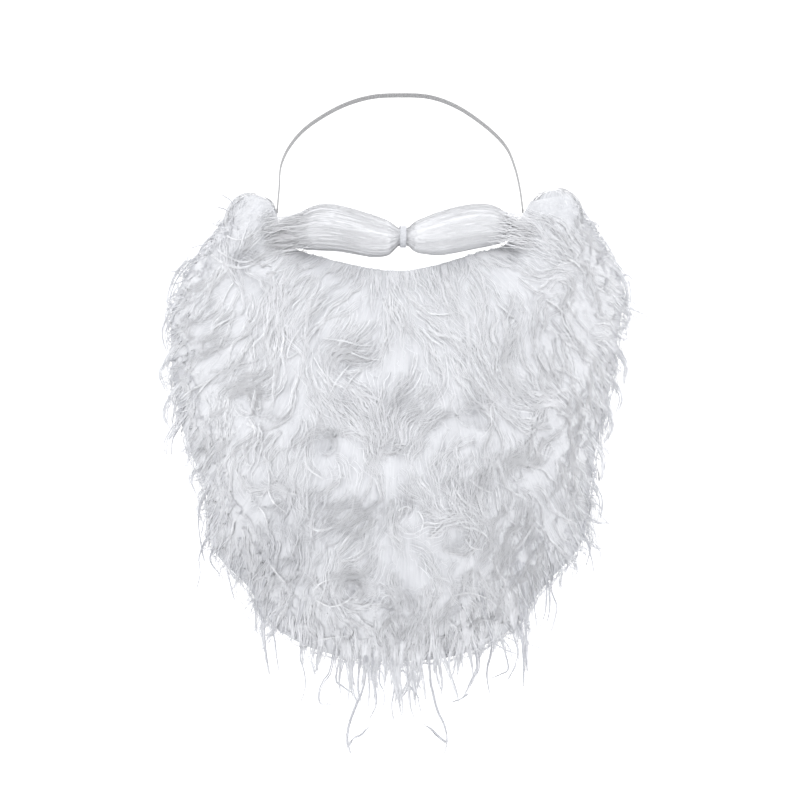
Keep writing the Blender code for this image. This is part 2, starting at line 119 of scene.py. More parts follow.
def make_piece(name, points, faces, material=None, ride=True):
    """Put points (n, 3) and faces (m, 3 or 4 point numbers) into a smooth mesh that rides with the beard."""
    points = np.ascontiguousarray(points, np.float32).reshape(-1, 3)
    faces = np.ascontiguousarray(faces, np.int32)
    mesh = bpy.data.meshes.new(name)
    mesh.vertices.add(len(points))
    mesh.vertices.foreach_set("co", points.ravel())
    mesh.loops.add(faces.size)
    mesh.loops.foreach_set("vertex_index", faces.ravel())
    mesh.polygons.add(len(faces))
    mesh.polygons.foreach_set("loop_start", np.arange(0, faces.size, faces.shape[1], dtype=np.int32))
    mesh.update(calc_edges=True)
    mesh.validate()
    mesh.shade_smooth()
    piece = bpy.data.objects.new(name, mesh)
    bpy.context.scene.collection.objects.link(piece)
    if material is not None:
        mesh.materials.append(material)
    if ride:
        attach(piece, "root")
    return piece


def ring_faces(rings, sides):
    """Faces of a tube that is open at its ends: quads from each ring of points to the next."""
    ring = np.arange(rings - 1)[:, None] * sides
    side = np.arange(sides)[None, :]
    after = (side + 1) % sides
    quads = np.stack([ring + side, ring + after, ring + sides + after, ring + sides + side], axis=-1)
    return quads.reshape(-1, 4)


def closed_tube_faces(rings, sides):
    """Triangles of a closed tube: its quads cut in two, and fans round two end points that follow the rings."""
    quads = ring_faces(rings, sides)
    side = np.arange(sides)
    after = (side + 1) % sides
    last = (rings - 1) * sides
    first_end = np.full_like(side, rings * sides)
    return np.concatenate([
        quads[:, [0, 1, 2]], quads[:, [0, 2, 3]],
        np.stack([after, side, first_end], axis=1),
        np.stack([last + side, last + after, first_end + 1], axis=1),
    ])


print("a closed tube of 3 rings with 4 sides has", len(closed_tube_faces(3, 4)), "triangles")


# %% Attributes and tables
def put_attribute(piece, name, values):
    """Store one number a point on a piece, for its material to read."""
    layer = piece.data.attributes.new(name, "FLOAT", "POINT")
    layer.data.foreach_set("value", np.ascontiguousarray(values, np.float32).ravel())


def unit(vectors):
    """Vectors divided by their lengths."""
    return vectors / np.maximum(np.linalg.norm(vectors, axis=-1, keepdims=True), 1e-9)


def smooth_table(table, places):
    """Read every column at fractional row numbers: a cubic through the rows, level with its neighbours."""
    last = len(table) - 1
    places = np.clip(np.asarray(places, float), 0.0, last)
    row = np.minimum(places.astype(int), last - 1)
    part = (places - row)[..., None]
    start, end = table[row], table[row + 1]
    slope_in = (end - table[np.maximum(row - 1, 0)]) / 2
    slope_out = (table[np.minimum(row + 2, last)] - start) / 2
    square, cube = part ** 2, part ** 3
    return ((2 * cube - 3 * square + 1) * start + (cube - 2 * square + part) * slope_in
            + (3 * square - 2 * cube) * end + (cube - square) * slope_out)


def lookup(table, values):
    """Read the later columns of a table at values of its first column."""
    first = table[:, 0]
    order = 1 if first[-1] > first[0] else -1
    rows = np.arange(len(first))
    return smooth_table(table[:, 1:], np.interp(np.asarray(values, float), first[::order], rows[::order]))


print("halfway between 1 and 4 a smooth table reads", smooth_table(np.array([[0.0], [1.0], [4.0], [9.0]]), 1.5))

# %% [markdown]
# ## Materials
# White fibre has no colour of its own: it shows by its shadows, by a faint blue-grey and by the small
# differences between one strand and the next. So each fibre material mixes two close whites by a
# number stored on every strand and by a wide soft noise, and gets the sheen of fine fibre. That number
# is the strand's own tone, with painted shade in the hollows and painted highlight on strands that catch
# the light. A picture of fibre could be laid on instead, but it would blur close by, while nodes stay
# sharp at any distance.

# %% Node helpers
GLOSS = 0.25


def new_material(name, roughness, sheen=0.0, sheen_roughness=0.5):
    """A Principled material with its uniform values on the shader's own sockets."""
    material = bpy.data.materials.new(name)
    material.use_nodes = True
    shader = material.node_tree.nodes["Principled BSDF"]
    shader.inputs["Roughness"].default_value = roughness
    shader.inputs["Sheen Weight"].default_value = sheen
    shader.inputs["Sheen Roughness"].default_value = sheen_roughness
    shader.inputs["Specular IOR Level"].default_value = GLOSS
    return material, material.node_tree, shader


def add_node(tree, kind, **values):
    """Add a node and set its properties, or its inputs where a name is an input's."""
    node = tree.nodes.new(kind)
    for name, value in values.items():
        label = name.replace("_", " ").title()
        if label in node.inputs:
            node.inputs[label].default_value = value
        else:
            setattr(node, name, value)
    return node


def mixed_colour(tree, share, low, high):
    """A colour between two, by a share from 0 to 1."""
    mix = tree.nodes.new("ShaderNodeMix")
    mix.data_type = "RGBA"
    tree.links.new(share, mix.inputs["Factor"])
    mix.inputs["A"].default_value = (*low, 1.0)
    mix.inputs["B"].default_value = (*high, 1.0)
    return mix.outputs["Result"]


def math_node(tree, operation, first, second):
    """A Math node whose inputs are sockets or numbers."""
    node = tree.nodes.new("ShaderNodeMath")
    node.operation = operation
    node.use_clamp = False
    for place, value in enumerate((first, second)):
        if isinstance(value, (int, float)):
            node.inputs[place].default_value = value
        else:
            tree.links.new(value, node.inputs[place])
    return node.outputs[0]


def object_noise(tree, **values):
    """A noise that stays with its piece, because it reads the piece's Object coordinates."""
    place = add_node(tree, "ShaderNodeTexCoord")
    noise = add_node(tree, "ShaderNodeTexNoise", **values)
    tree.links.new(place.outputs["Object"], noise.inputs["Vector"])
    return noise.outputs["Fac"]


def add_relief(tree, shader, height, strength, distance):
    """Tilt the shading as if the surface stood out by a share, from 0 to 1, of a distance."""
    bump = add_node(tree, "ShaderNodeBump", strength=strength, distance=distance)
    tree.links.new(height, bump.inputs["Height"])
    tree.links.new(bump.outputs["Normal"], shader.inputs["Normal"])


# %% Strand materials
FIBRE_SHADE = (0.59, 0.60, 0.635)
FIBRE_LIGHT = (0.845, 0.855, 0.885)
TONE_SHARE, PATCH_SHARE = 0.85, 0.2


def strand_material(name, shade, light, roughness=0.6):
    """Fibre whose whiteness follows each strand's stored tone, which holds painted shade and painted highlight,
    and a wide soft noise.
    """
    material, tree, shader = new_material(name, roughness, sheen=0.25, sheen_roughness=0.4)
    tone = add_node(tree, "ShaderNodeAttribute", attribute_name="tone_and_painted_light")
    patches = object_noise(tree, scale=28.0, detail=3.0)
    by_tone = math_node(tree, "MULTIPLY", tone.outputs["Fac"], TONE_SHARE)
    by_patch = math_node(tree, "MULTIPLY", patches, PATCH_SHARE)
    share = math_node(tree, "ADD", by_tone, by_patch)
    tree.links.new(mixed_colour(tree, share, shade, light), shader.inputs["Base Color"])
    return material


beard_fibre = strand_material("beard_fibre", FIBRE_SHADE, FIBRE_LIGHT)
moustache_fibre = strand_material("moustache_fibre", (0.66, 0.67, 0.705), (0.80, 0.805, 0.83), 0.5)
# The wisps' whites are darker than the beard's: painted shade on the same white fibre
shaded_wisp_fibre = strand_material("shaded_wisp_fibre", (0.50, 0.51, 0.55), (0.72, 0.73, 0.77), 0.6)
print("strand materials:", beard_fibre.name, moustache_fibre.name, shaded_wisp_fibre.name)

# %% Packed materials
PACKED_BASE, PACKED_TONE_SHARE, PACKED_PATCH_SHARE = 0.35, 0.35, 0.15
STREAK_RELIEF = 0.0012


def packed_fibre_material(name, shade, light, across, along, strength, grain_share):
    """Fibre pressed close: streaks that run along the piece's own map, in colour and in relief, and a stored
    tone that carries painted shade.
    """
    material, tree, shader = new_material(name, 0.75, sheen=0.35, sheen_roughness=0.45)
    place = add_node(tree, "ShaderNodeUVMap", uv_map="along_fibre")
    scale = add_node(tree, "ShaderNodeMapping")
    scale.inputs["Scale"].default_value = (across, along, 1.0)
    tree.links.new(place.outputs["UV"], scale.inputs["Vector"])
    streaks = add_node(tree, "ShaderNodeTexNoise", scale=1.0, detail=6.0, roughness=0.65, distortion=1.0)
    tree.links.new(scale.outputs["Vector"], streaks.inputs["Vector"])
    patches = object_noise(tree, scale=30.0, detail=3.0)
    tone = add_node(tree, "ShaderNodeAttribute", attribute_name="tone_and_painted_light")
    centred = math_node(tree, "SUBTRACT", streaks.outputs["Fac"], 0.5)
    by_streak = math_node(tree, "MULTIPLY", centred, grain_share)
    by_patch = math_node(tree, "MULTIPLY", patches, PACKED_PATCH_SHARE)
    by_tone = math_node(tree, "MULTIPLY", tone.outputs["Fac"], PACKED_TONE_SHARE)
    lifted_patch = math_node(tree, "ADD", by_patch, PACKED_BASE)
    share = math_node(tree, "ADD", math_node(tree, "ADD", by_streak, lifted_patch), by_tone)
    tree.links.new(mixed_colour(tree, share, shade, light), shader.inputs["Base Color"])
    add_relief(tree, shader, streaks.outputs["Fac"], strength, STREAK_RELIEF)
    return material


# Both packed materials are darker than their loose strands: painted shade for fibre that lies deep under the
# strands
packed_fibre = packed_fibre_material(
    "packed_fibre", (0.45, 0.46, 0.49), (0.645, 0.655, 0.685),
    across=340.0, along=9.0, strength=0.6, grain_share=1.3)
packed_moustache = packed_fibre_material(
    "packed_moustache", (0.58, 0.59, 0.615), (0.70, 0.705, 0.73),
    across=60.0, along=5.0, strength=0.2, grain_share=0.3)
print("packed materials:", packed_fibre.name, packed_moustache.name)

# %% [markdown]
# ## The elastic
# A flat braided elastic is sewn to the cloth near each corner tuft and goes up round the back of the
# head. From the front its sides show edge-on and thin, and its top shows its full width, because the
# whole loop lies in one plane that tilts up towards the back. A curve object with a flat profile could
# make it, but the profile would twist. So the route is a table in the front view, the depth follows
# from the tilt, and a rounded bar is carried along it that always lies in that plane.

# %% Elastic route
ELASTIC_WIDTH = 3.6 * MM
ELASTIC_THICKNESS = 1.1 * MM
ELASTIC_TILT = math.radians(30.0)
ELASTIC_POINTS = 200
ELASTIC_ROUTE = np.array([
    [-88.6, 18.7], [-87.2, 36.0], [-86.0, 52.0], [-79.6, 66.4], [-66.9, 80.6],
    [-44.2, 94.8], [-22.0, 102.2], [0.0, 103.7], [21.6, 102.4], [42.0, 94.8],
    [62.4, 80.6], [76.2, 66.4], [82.6, 52.0], [86.4, 36.0], [88.6, 18.7],
])
elastic_box = np.array(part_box("elastic_band"))
route = smooth_table(ELASTIC_ROUTE, np.linspace(0, len(ELASTIC_ROUTE) - 1, ELASTIC_POINTS)) * MM
rise = route[:, 1] - ELASTIC_ROUTE[0, 1] * MM
start_y = elastic_box[0][1] + 0.5 * ELASTIC_WIDTH * math.sin(ELASTIC_TILT)
elastic_path = np.stack([route[:, 0], start_y + rise / math.tan(ELASTIC_TILT), route[:, 1]], axis=1)
plane_normal = np.array([0.0, -math.sin(ELASTIC_TILT), math.cos(ELASTIC_TILT)])
along = unit(np.gradient(elastic_path, axis=0))
outward = unit(np.cross(along, plane_normal))
path_so_far = np.cumsum(np.linalg.norm(np.diff(elastic_path, axis=0, prepend=elastic_path[:1]), axis=1))

# %% Elastic braid
# A rounded bar: a circle whose cosine and sine are raised to a low power, with fine ribs along and across it
BAR_SIDES = 24
BAR_POWER = 0.55
RIB_HEIGHT, RIB_PITCH = 0.10, 0.62 * MM
BRAID_HEIGHT, BRAID_PITCH, BRAID_SLANT = 0.06, 1.3 * MM, 9.0
turn = np.linspace(0, 2 * math.pi, BAR_SIDES, endpoint=False)
bar_wide = 0.5 * ELASTIC_WIDTH * np.sign(np.cos(turn)) * np.abs(np.cos(turn)) ** BAR_POWER
bar_thick = 0.5 * ELASTIC_THICKNESS * np.sign(np.sin(turn)) * np.abs(np.sin(turn)) ** BAR_POWER
braid_wave = 2 * math.pi * path_so_far[:, None] / BRAID_PITCH + BRAID_SLANT * bar_wide[None, :] / MM
ribs = (1.0 + RIB_HEIGHT * np.sin(2 * math.pi * bar_wide[None, :] / RIB_PITCH)
        + BRAID_HEIGHT * np.sin(braid_wave))
band = (elastic_path[:, None, :] + plane_normal * bar_wide[None, :, None]
        + outward[:, None, :] * (bar_thick[None, :] * ribs)[..., None])

elastic_weave, tree, shader = new_material("elastic_weave", 0.7, sheen=0.2)
threads = object_noise(tree, scale=900.0, detail=2.0)
# Dark greys: partly the elastic's own light grey, partly painted shade for the shaded inner face that shows at
# the top
thread_grey_and_shade = mixed_colour(tree, threads, (0.17, 0.17, 0.175), (0.46, 0.46, 0.47))
tree.links.new(thread_grey_and_shade, shader.inputs["Base Color"])
add_relief(tree, shader, threads, 0.5, 0.0002)

points = np.concatenate([band.reshape(-1, 3), elastic_path[:1], elastic_path[-1:]])
elastic = make_piece("elastic_braid", points, closed_tube_faces(ELASTIC_POINTS, BAR_SIDES), elastic_weave)
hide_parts("elastic_band")
print("elastic braid has", len(elastic.data.polygons), "faces")

# %% [markdown]
# ## The stage
# The photograph has a bare white ground and almost no shadows, so the beard hangs in an even white room
# over a plain pale floor. One wide soft light above in front makes the lower half a shade darker than
# the upper half, and two weak ones fill the sides. Small strong lights would show the locks more, but
# they would cast hard shadows that the photograph doesn't have.

# %% Floor and room
FLOOR_DROP = 0.35
FLOOR_HEIGHT = cad_box[0][2] - FLOOR_DROP
FLOOR_RADIUS, FLOOR_HOLE = 3.0, 0.02
FLOOR_RINGS, FLOOR_SIDES = 6, 64
ROOM_STRENGTH = 1.41

floor_turn = np.linspace(0, 2 * math.pi, FLOOR_SIDES, endpoint=False)[None, :]
floor_out = np.linspace(FLOOR_HOLE, 1.0, FLOOR_RINGS)[:, None] * FLOOR_RADIUS
floor_points = np.stack(np.broadcast_arrays(
    floor_out * np.cos(floor_turn), floor_out * np.sin(floor_turn), FLOOR_HEIGHT), axis=-1)
pale_floor, tree, shader = new_material("pale_floor", 0.9)
shader.inputs["Base Color"].default_value = (0.86, 0.86, 0.86, 1.0)
floor = make_piece("studio_floor", floor_points, ring_faces(FLOOR_RINGS, FLOOR_SIDES), pale_floor, ride=False)

world = bpy.data.worlds.new("white_room")
world.use_nodes = True
world.node_tree.nodes["Background"].inputs["Color"].default_value = (1.0, 1.0, 1.0, 1.0)
world.node_tree.nodes["Background"].inputs["Strength"].default_value = ROOM_STRENGTH
bpy.context.scene.world = world
print(f"floor {FLOOR_DROP / MM:.0f} mm below the beard")

# %% Lights
LIGHT_AIM = (0.0, 0.0, -0.1)


def soft_light(name, place, size, power):
    """A square soft light that looks at the middle of the beard: its turns are the angles of its gaze."""
    data = bpy.data.lights.new(name, "AREA")
    data.shape = "SQUARE"
    data.size = size
    data.energy = power
    light = bpy.data.objects.new(name, data)
    light.location = place
    gaze = np.array(LIGHT_AIM) - np.array(place)
    flat = math.hypot(gaze[0], gaze[1])
    light.rotation_euler = (math.pi / 2 + math.atan2(gaze[2], flat), 0.0, math.atan2(-gaze[0], gaze[1]))
    bpy.context.scene.collection.objects.link(light)


soft_light("top_light", (-0.15, -1.5, 1.9), 1.8, 14.0)
soft_light("left_light", (-1.9, -1.8, 0.3), 1.4, 3.0)
soft_light("right_light", (1.9, -1.8, 0.3), 1.4, 2.0)
bpy.context.scene.view_settings.view_transform = "Standard"
print("lights:", len(bpy.data.lights))

# %% [markdown]
# ## The form of the beard
# The fibre grows from the edge round the mouth to the outline along rays. A short table gives each ray's
# two ends and how thick the fibre is, a second one how it puffs along a ray, and a third how the cloth
# hangs. They repeat the sizes of the solid that the loose fibre stands in for, so the form stays the
# same. Modelling by hand in sculpt mode would be quicker to see, but tables are easier to correct.

# %% Rays, puff and hang
FACE_BEND = 4.5
BEND_END = 100.0 * MM
BEND_END_SLOPE = 0.9
# The mass ends at this share of each ray, a little less round its tip, as loose strands reach the rest
MASS_REACH, TIP_THINNED, TIP_SPREAD = 0.96, 0.05, 0.13
# height, middle_y, bend_share
HANG = np.array([
    [60.0, 0.0, 1.00], [0.0, 0.0, 1.00], [-30.0, -1.0, 1.00], [-75.0, -5.0, 0.95],
    [-150.0, -4.0, 0.80], [-240.0, 4.0, 0.66], [-340.0, 12.0, 0.55], [-420.0, 16.0, 0.50],
])
# inner_x, inner_z, outer_x, outer_z, thickness
RAYS = np.array([
    [-94.0, 26.0, -112.0, 30.0, 20.0], [-89.5, 17.0, -128.0, 11.0, 28.0], [-85.5, 4.0, -147.0, -13.0, 36.0],
    [-79.0, -6.0, -166.0, -45.0, 42.0], [-69.0, -11.0, -169.5, -81.0, 46.0],
    [-57.5, -14.0, -166.5, -118.0, 49.0], [-45.5, -17.5, -159.0, -152.0, 52.0],
    [-36.5, -19.5, -144.5, -192.0, 56.0], [-27.5, -21.5, -141.0, -234.0, 58.0],
    [-19.0, -23.0, -116.0, -266.0, 59.0], [-11.5, -24.0, -94.0, -303.0, 58.0],
    [-5.0, -24.3, -54.0, -326.0, 56.0], [1.5, -24.5, -5.0, -333.0, 55.0], [8.0, -24.0, 44.0, -327.0, 56.0],
    [15.0, -22.5, 86.0, -302.0, 58.0], [23.0, -21.0, 109.0, -266.0, 59.0], [31.5, -19.0, 136.0, -231.0, 58.0],
    [40.5, -16.0, 141.5, -189.0, 56.0], [49.0, -13.5, 147.0, -149.0, 52.0], [57.5, -11.0, 155.5, -113.0, 49.0],
    [66.0, -9.0, 160.5, -78.0, 46.0], [74.0, -6.5, 164.5, -40.0, 42.0], [81.0, 1.0, 152.0, -9.0, 36.0],
    [87.0, 13.0, 137.0, 12.0, 28.0], [94.0, 26.0, 122.0, 31.0, 20.0],
])
# along, share
PUFF = np.array([
    [0.00, 0.16], [0.08, 0.38], [0.22, 0.70], [0.40, 0.94],
    [0.58, 1.00], [0.76, 0.92], [0.90, 0.66], [1.00, 0.20],
])
# count, out_from, out_to, rise, slant, shift
LAYERS = np.array([
    [9, 0.03, 0.42, 11.0, 0.45, 0.20], [11, 0.28, 0.67, 14.0, -0.40, 0.65], [13, 0.52, 0.93, 13.0, 0.35, 0.10],
])
print("rays:", len(RAYS), "layers of locks:", len(LAYERS))


# %% A point on the mass
def cloth_y(x, z):
    """The front of the cloth: a parabola across the face that goes straight past BEND_END, less bent lower."""
    hang = lookup(HANG, np.asarray(z) / MM)
    across = np.abs(x)
    bent = FACE_BEND * np.minimum(across, BEND_END) ** 2
    straight = BEND_END_SLOPE * np.maximum(across - BEND_END, 0.0)
    return hang[..., 0] * MM + (bent + straight) * hang[..., 1]


def relief(around, out):
    """Rows of locks: each rises along a ray to a rounded tip, with a rounded ridge across it."""
    tallest = np.zeros(np.broadcast(around, out).shape)
    for count, out_from, out_to, rise, slant, shift in LAYERS:
        place = around * count + slant * out + shift
        number = np.floor(place)
        across = 2.0 * (place - number) - 1.0
        tip = out_to + 0.035 * np.sin(2.4 * number + 5.0 * shift) - 0.07 * across ** 2
        part = np.clip((out - out_from) / np.maximum(tip - out_from, 0.01), 0.0, 1.0)
        body = np.clip(part / 0.85, 0.0, 1.0) ** 1.1
        end = np.sqrt(np.clip((1.0 - part) / 0.14, 0.0, 1.0))
        ridge = 0.25 + 0.75 * np.sqrt(np.clip(1.0 - across ** 2, 0.0, 1.0))
        tallest = np.maximum(tallest, rise * MM * body * end * ridge)
    return tallest


def mass_point(around, out, relief_share=0.55):
    """A point on the front of the mass: a place along a ray, before the cloth by its puff and relief."""
    around, out = np.broadcast_arrays(np.asarray(around, float), np.asarray(out, float))
    reach = (MASS_REACH - TIP_THINNED * np.exp(-((around - 0.5) / TIP_SPREAD) ** 2))[..., None]
    row = smooth_table(RAYS, around * (len(RAYS) - 1)) * MM
    flat = row[..., 0:2] + (row[..., 2:4] - row[..., 0:2]) * reach * out[..., None]
    x, z = flat[..., 0], flat[..., 1]
    y = cloth_y(x, z) - row[..., 4] * lookup(PUFF, out)[..., 0] - relief_share * relief(around, out)
    return np.stack([x, y, z], axis=-1)


print("front of the chin at y =", round(float(mass_point(0.5, 0.4)[1]) / MM, 1), "mm")

# %% [markdown]
# ## A map of the front
# Strands lie on the mass, so they need its depth at any place in the front view. The mass is sampled
# densely into a map of 1 mm cells that keeps the foremost depth, then the corner tufts and the large
# puffs and hollows of the real beard are added. Empty cells outside the outline take their neighbours'
# mean, so a strand that hangs past the edge goes on smoothly. Casting a ray at the mesh for each strand
# would find the same depths, only far more slowly.

# %% Map and its tables
MAP_LOW = np.array([-190.0, -395.0]) * MM
MAP_STEP = 1.0 * MM
MAP_SHAPE = (381, 451)
SAMPLES_AROUND, SAMPLES_OUT = 1500, 620
# x, z, radius, height
PUFFS = np.array([
    [40.0, -96.0, 34.0, 6.0], [-65.0, -130.0, 28.0, 5.0], [-25.0, -62.0, 26.0, 3.0],
    [112.0, -48.0, 24.0, 6.0], [-110.0, -80.0, 26.0, 5.0], [58.0, -158.0, 24.0, 5.0],
    [-18.0, -174.0, 26.0, 8.0], [-54.0, -152.0, 10.0, -5.0], [56.0, -130.0, 9.0, -5.0],
    [-20.0, -202.0, 13.0, -6.0], [-35.0, -254.0, 26.0, 8.0], [-35.0, -254.0, 8.0, -5.0],
    [43.0, -216.0, 28.0, 8.0], [41.0, -214.0, 8.0, -5.0], [5.0, -207.0, 12.0, 5.0],
    [-92.0, -232.0, 27.0, -7.0], [98.0, -208.0, 24.0, -6.0], [38.0, -268.0, 24.0, 5.0],
    [-108.0, -16.0, 14.0, -6.0], [118.0, -110.0, 22.0, 5.0], [-128.0, -140.0, 20.0, 5.0],
    [-2.0, -285.0, 12.0, -5.0], [2.0, -120.0, 9.0, -4.0], [90.0, -262.0, 18.0, 4.0],
])
# x, z, half_width, half_height, half_depth, lean
TUFTS = np.array([[-107.5, 13.0, 17.5, 19.0, 16.0, 20.0], [112.5, 16.0, 18.5, 19.0, 16.0, -12.0]])
TUFT_FORWARD = 0.55
print("puffs and hollows:", len(PUFFS), "tufts:", len(TUFTS))

# %% Depth of the mass
sample_round = np.linspace(0, 1, SAMPLES_AROUND)[:, None]
sample_out = np.linspace(0, 1, SAMPLES_OUT)[None, :]
samples = mass_point(sample_round, sample_out).reshape(-1, 3)
front_map = np.full(MAP_SHAPE, np.inf)
cell = np.round((samples[:, [0, 2]] - MAP_LOW) / MAP_STEP).astype(int)
np.minimum.at(front_map, (cell[:, 0], cell[:, 1]), samples[:, 1])
out_map = np.zeros(MAP_SHAPE)
out_map[cell[:, 0], cell[:, 1]] = np.broadcast_to(sample_out, (SAMPLES_AROUND, SAMPLES_OUT)).ravel()
mass_cells = np.argwhere(np.isfinite(front_map))
grid_x = (MAP_LOW[0] + MAP_STEP * np.arange(MAP_SHAPE[0]))[:, None] * np.ones(MAP_SHAPE)
grid_z = (MAP_LOW[1] + MAP_STEP * np.arange(MAP_SHAPE[1]))[None, :] * np.ones(MAP_SHAPE)


def tuft_middle(x, z, half_depth):
    """The depth of a tuft's middle: a share of its own half depth before the cloth."""
    return float(cloth_y(x * MM, z * MM)) - TUFT_FORWARD * half_depth * MM


for x, z, half_width, half_height, half_depth, lean in TUFTS:
    turned = math.radians(lean)
    away_x, away_z = grid_x / MM - x, grid_z / MM - z
    local_x = (away_x * math.cos(turned) - away_z * math.sin(turned)) / half_width
    local_z = (away_z * math.cos(turned) + away_x * math.sin(turned)) / half_height
    inside = 1.0 - local_x ** 2 - local_z ** 2
    tuft_front = tuft_middle(x, z, half_depth) - half_depth * MM * np.sqrt(np.clip(inside, 0.0, 1.0))
    front_map = np.where(inside > 0.0, np.minimum(front_map, tuft_front), front_map)
print("the mass covers", len(mass_cells), "cells of 1 mm")

# %% Past the outline
NEIGHBOURS = ((1, 0), (-1, 0), (0, 1), (0, -1))
FILL_STEPS = 70


def shifted(values, x_step, z_step):
    """The map moved by whole cells, with its edge repeated."""
    moved = np.roll(values, (x_step, z_step), axis=(0, 1))
    if x_step:
        moved[0 if x_step > 0 else -1, :] = values[0 if x_step > 0 else -1, :]
    if z_step:
        moved[:, 0 if z_step > 0 else -1] = values[:, 0 if z_step > 0 else -1]
    return moved


filled = np.isfinite(front_map)
on_mass = filled.copy()
depth = np.where(filled, front_map, 0.0)
for _ in range(FILL_STEPS):
    total = sum(shifted(depth * filled, *move) for move in NEIGHBOURS)
    count = sum(shifted(filled.astype(float), *move) for move in NEIGHBOURS)
    fresh = ~filled & (count > 0)
    depth = np.where(fresh, total / np.maximum(count, 1), depth)
    filled = filled | fresh
print("cells with a depth:", int(filled.sum()), "of", filled.size)

# %% Swells and hollows
def billows(x, z, longest, shortest, count, generator):
    """Rounded swells with creases between: the size of a sum of waves that run in every direction."""
    total = np.zeros(np.shape(x))
    for _ in range(count):
        heading = generator.uniform(0, FULL_TURN)
        pitch = generator.uniform(shortest, longest) * MM
        along_wave = (x * math.cos(heading) + z * math.sin(heading)) / pitch
        total += np.sin(FULL_TURN * along_wave + generator.uniform(0, FULL_TURN))
    return np.abs(total) / math.sqrt(count)


def blurred(values, times):
    """The map with every cell moved towards its neighbours' mean, several times over."""
    for _ in range(times):
        values = (values * 2 + sum(shifted(values, *move) for move in NEIGHBOURS)) / 6
    return values


FRONT_BLUR, SLOPE_BLUR, COVER_BLUR = 6, 30, 14
generator = np.random.default_rng(64)
# height, longest, shortest, waves
BILLOWS = ((3.2, 90.0, 45.0, 14), (1.3, 34.0, 16.0, 14))
for x, z, radius, height in PUFFS:
    depth -= height * MM * np.exp(-((grid_x / MM - x) ** 2 + (grid_z / MM - z) ** 2) / radius ** 2)
for height, longest, shortest, waves in BILLOWS:
    depth -= height * MM * billows(grid_x, grid_z, longest, shortest, waves, generator)
front_depth = blurred(depth, FRONT_BLUR)
slope_x, slope_z = np.gradient(blurred(front_depth, SLOPE_BLUR), MAP_STEP)
cover = blurred(on_mass.astype(float), COVER_BLUR)
print(f"front map from {float(front_depth.min()) / MM:.0f} to {float(front_depth.max()) / MM:.0f} mm deep")

# %% Shadows
# x, z, radius_x, radius_z, darkness: painted shade, where the fibre lies deeper in hollows and at the lower
# sides and looks greyer
SHADOWS = np.array([
    [-90.0, -228.0, 36.0, 34.0, 0.60], [100.0, -204.0, 30.0, 36.0, 0.30], [-48.0, -192.0, 36.0, 6.0, 0.25],
    [-16.0, -250.0, 14.0, 34.0, 0.10], [2.0, -262.0, 12.0, 40.0, 0.16], [-54.0, -154.0, 7.0, 11.0, 0.40],
    [56.0, -126.0, 5.0, 11.0, 0.40], [40.0, -220.0, 4.0, 4.0, 0.50], [-33.0, -251.0, 4.0, 5.0, 0.40],
    [-17.0, -193.0, 8.0, 4.0, 0.35], [-119.0, -14.0, 13.0, 3.5, 0.75], [52.0, -262.0, 40.0, 12.0, 0.10],
    [-60.0, -285.0, 40.0, 14.0, 0.10], [128.0, -232.0, 16.0, 26.0, 0.10], [-150.0, -60.0, 12.0, 50.0, 0.16],
    [-84.0, -206.0, 6.0, 6.0, 0.30], [-82.0, -234.0, 10.0, 5.0, 0.35], [106.0, 10.0, 4.0, 5.0, 0.30],
    [-104.0, -32.0, 12.0, 7.0, 0.30], [112.0, -62.0, 6.0, 14.0, 0.20], [-74.0, -140.0, 6.0, 16.0, 0.14],
    [-2.0, -62.0, 8.0, 3.0, 0.25], [50.0, -178.0, 7.0, 6.0, 0.25], [98.0, -246.0, 7.0, 5.0, 0.35],
])
# Painted shade that deepens slowly towards the tip, like the shade of the lower half
TIP_DARKER = 0.03


def shadow_share(x, z):
    """How much painted shade greys the fibre at a place: soft round patches, and a slow fall towards the tip.
    """
    total = TIP_DARKER * np.clip(-z / (330.0 * MM), 0.0, 1.0)
    for patch_x, patch_z, radius_x, radius_z, darkness in SHADOWS:
        off_x, off_z = (x / MM - patch_x) / radius_x, (z / MM - patch_z) / radius_z
        total = total + darkness * np.exp(-off_x ** 2 - off_z ** 2)
    return total


print("shadow patches:", len(SHADOWS))

# %% Reading the map
def read_map(values, x, z):
    """Bilinear reading of a map at places in the front view."""
    column = np.clip((x - MAP_LOW[0]) / MAP_STEP, 0, MAP_SHAPE[0] - 1.001)
    row = np.clip((z - MAP_LOW[1]) / MAP_STEP, 0, MAP_SHAPE[1] - 1.001)
    i, j = column.astype(int), row.astype(int)
    u, v = column - i, row - j
    return ((1 - u) * (1 - v) * values[i, j] + u * (1 - v) * values[i + 1, j]
            + (1 - u) * v * values[i, j + 1] + u * v * values[i + 1, j + 1])


def front_normal(x, z):
    """The way the soft front faces at a place: its slopes in x and z beside one step towards -Y."""
    return unit(np.stack([read_map(slope_x, x, z), -np.ones(np.shape(x)), read_map(slope_z, x, z)], axis=-1))


print("under the lip the front faces", front_normal(np.array(0.0), np.array(-0.06)).round(2))

# %% [markdown]
# ## The packed fibre under the strands
# Under the loose strands lies a felted mass of the same fibre. Strands alone could fill it, but it would
# take millions of them, and light would still fall through. So one closed surface lies below: the front
# follows the map, with fine furrows that run along the rays, and the back follows the cloth.

# %% Furrows and the fibre's own map
def furrows(around, out, count, generator):
    """A sum of waves across the rays whose places wander along them."""
    total = np.zeros(np.broadcast(around, out).shape)
    for _ in range(count):
        pitch = generator.uniform(45.0, 210.0)
        wander = 0.010 * np.sin(out * generator.uniform(4.0, 14.0) + generator.uniform(0, FULL_TURN))
        wave = np.sin(2 * math.pi * pitch * (around + wander) + generator.uniform(0, FULL_TURN))
        total += wave * (60.0 / pitch) ** 0.5
    return total / math.sqrt(count)


def put_map(piece, per_point):
    """Give a piece the map that its streaks follow, from one place a point."""
    layer = piece.data.uv_layers.new(name="along_fibre")
    corners = np.empty(len(piece.data.loops), np.int32)
    piece.data.loops.foreach_get("vertex_index", corners)
    layer.data.foreach_set("uv", np.ascontiguousarray(per_point[corners], np.float32).ravel())


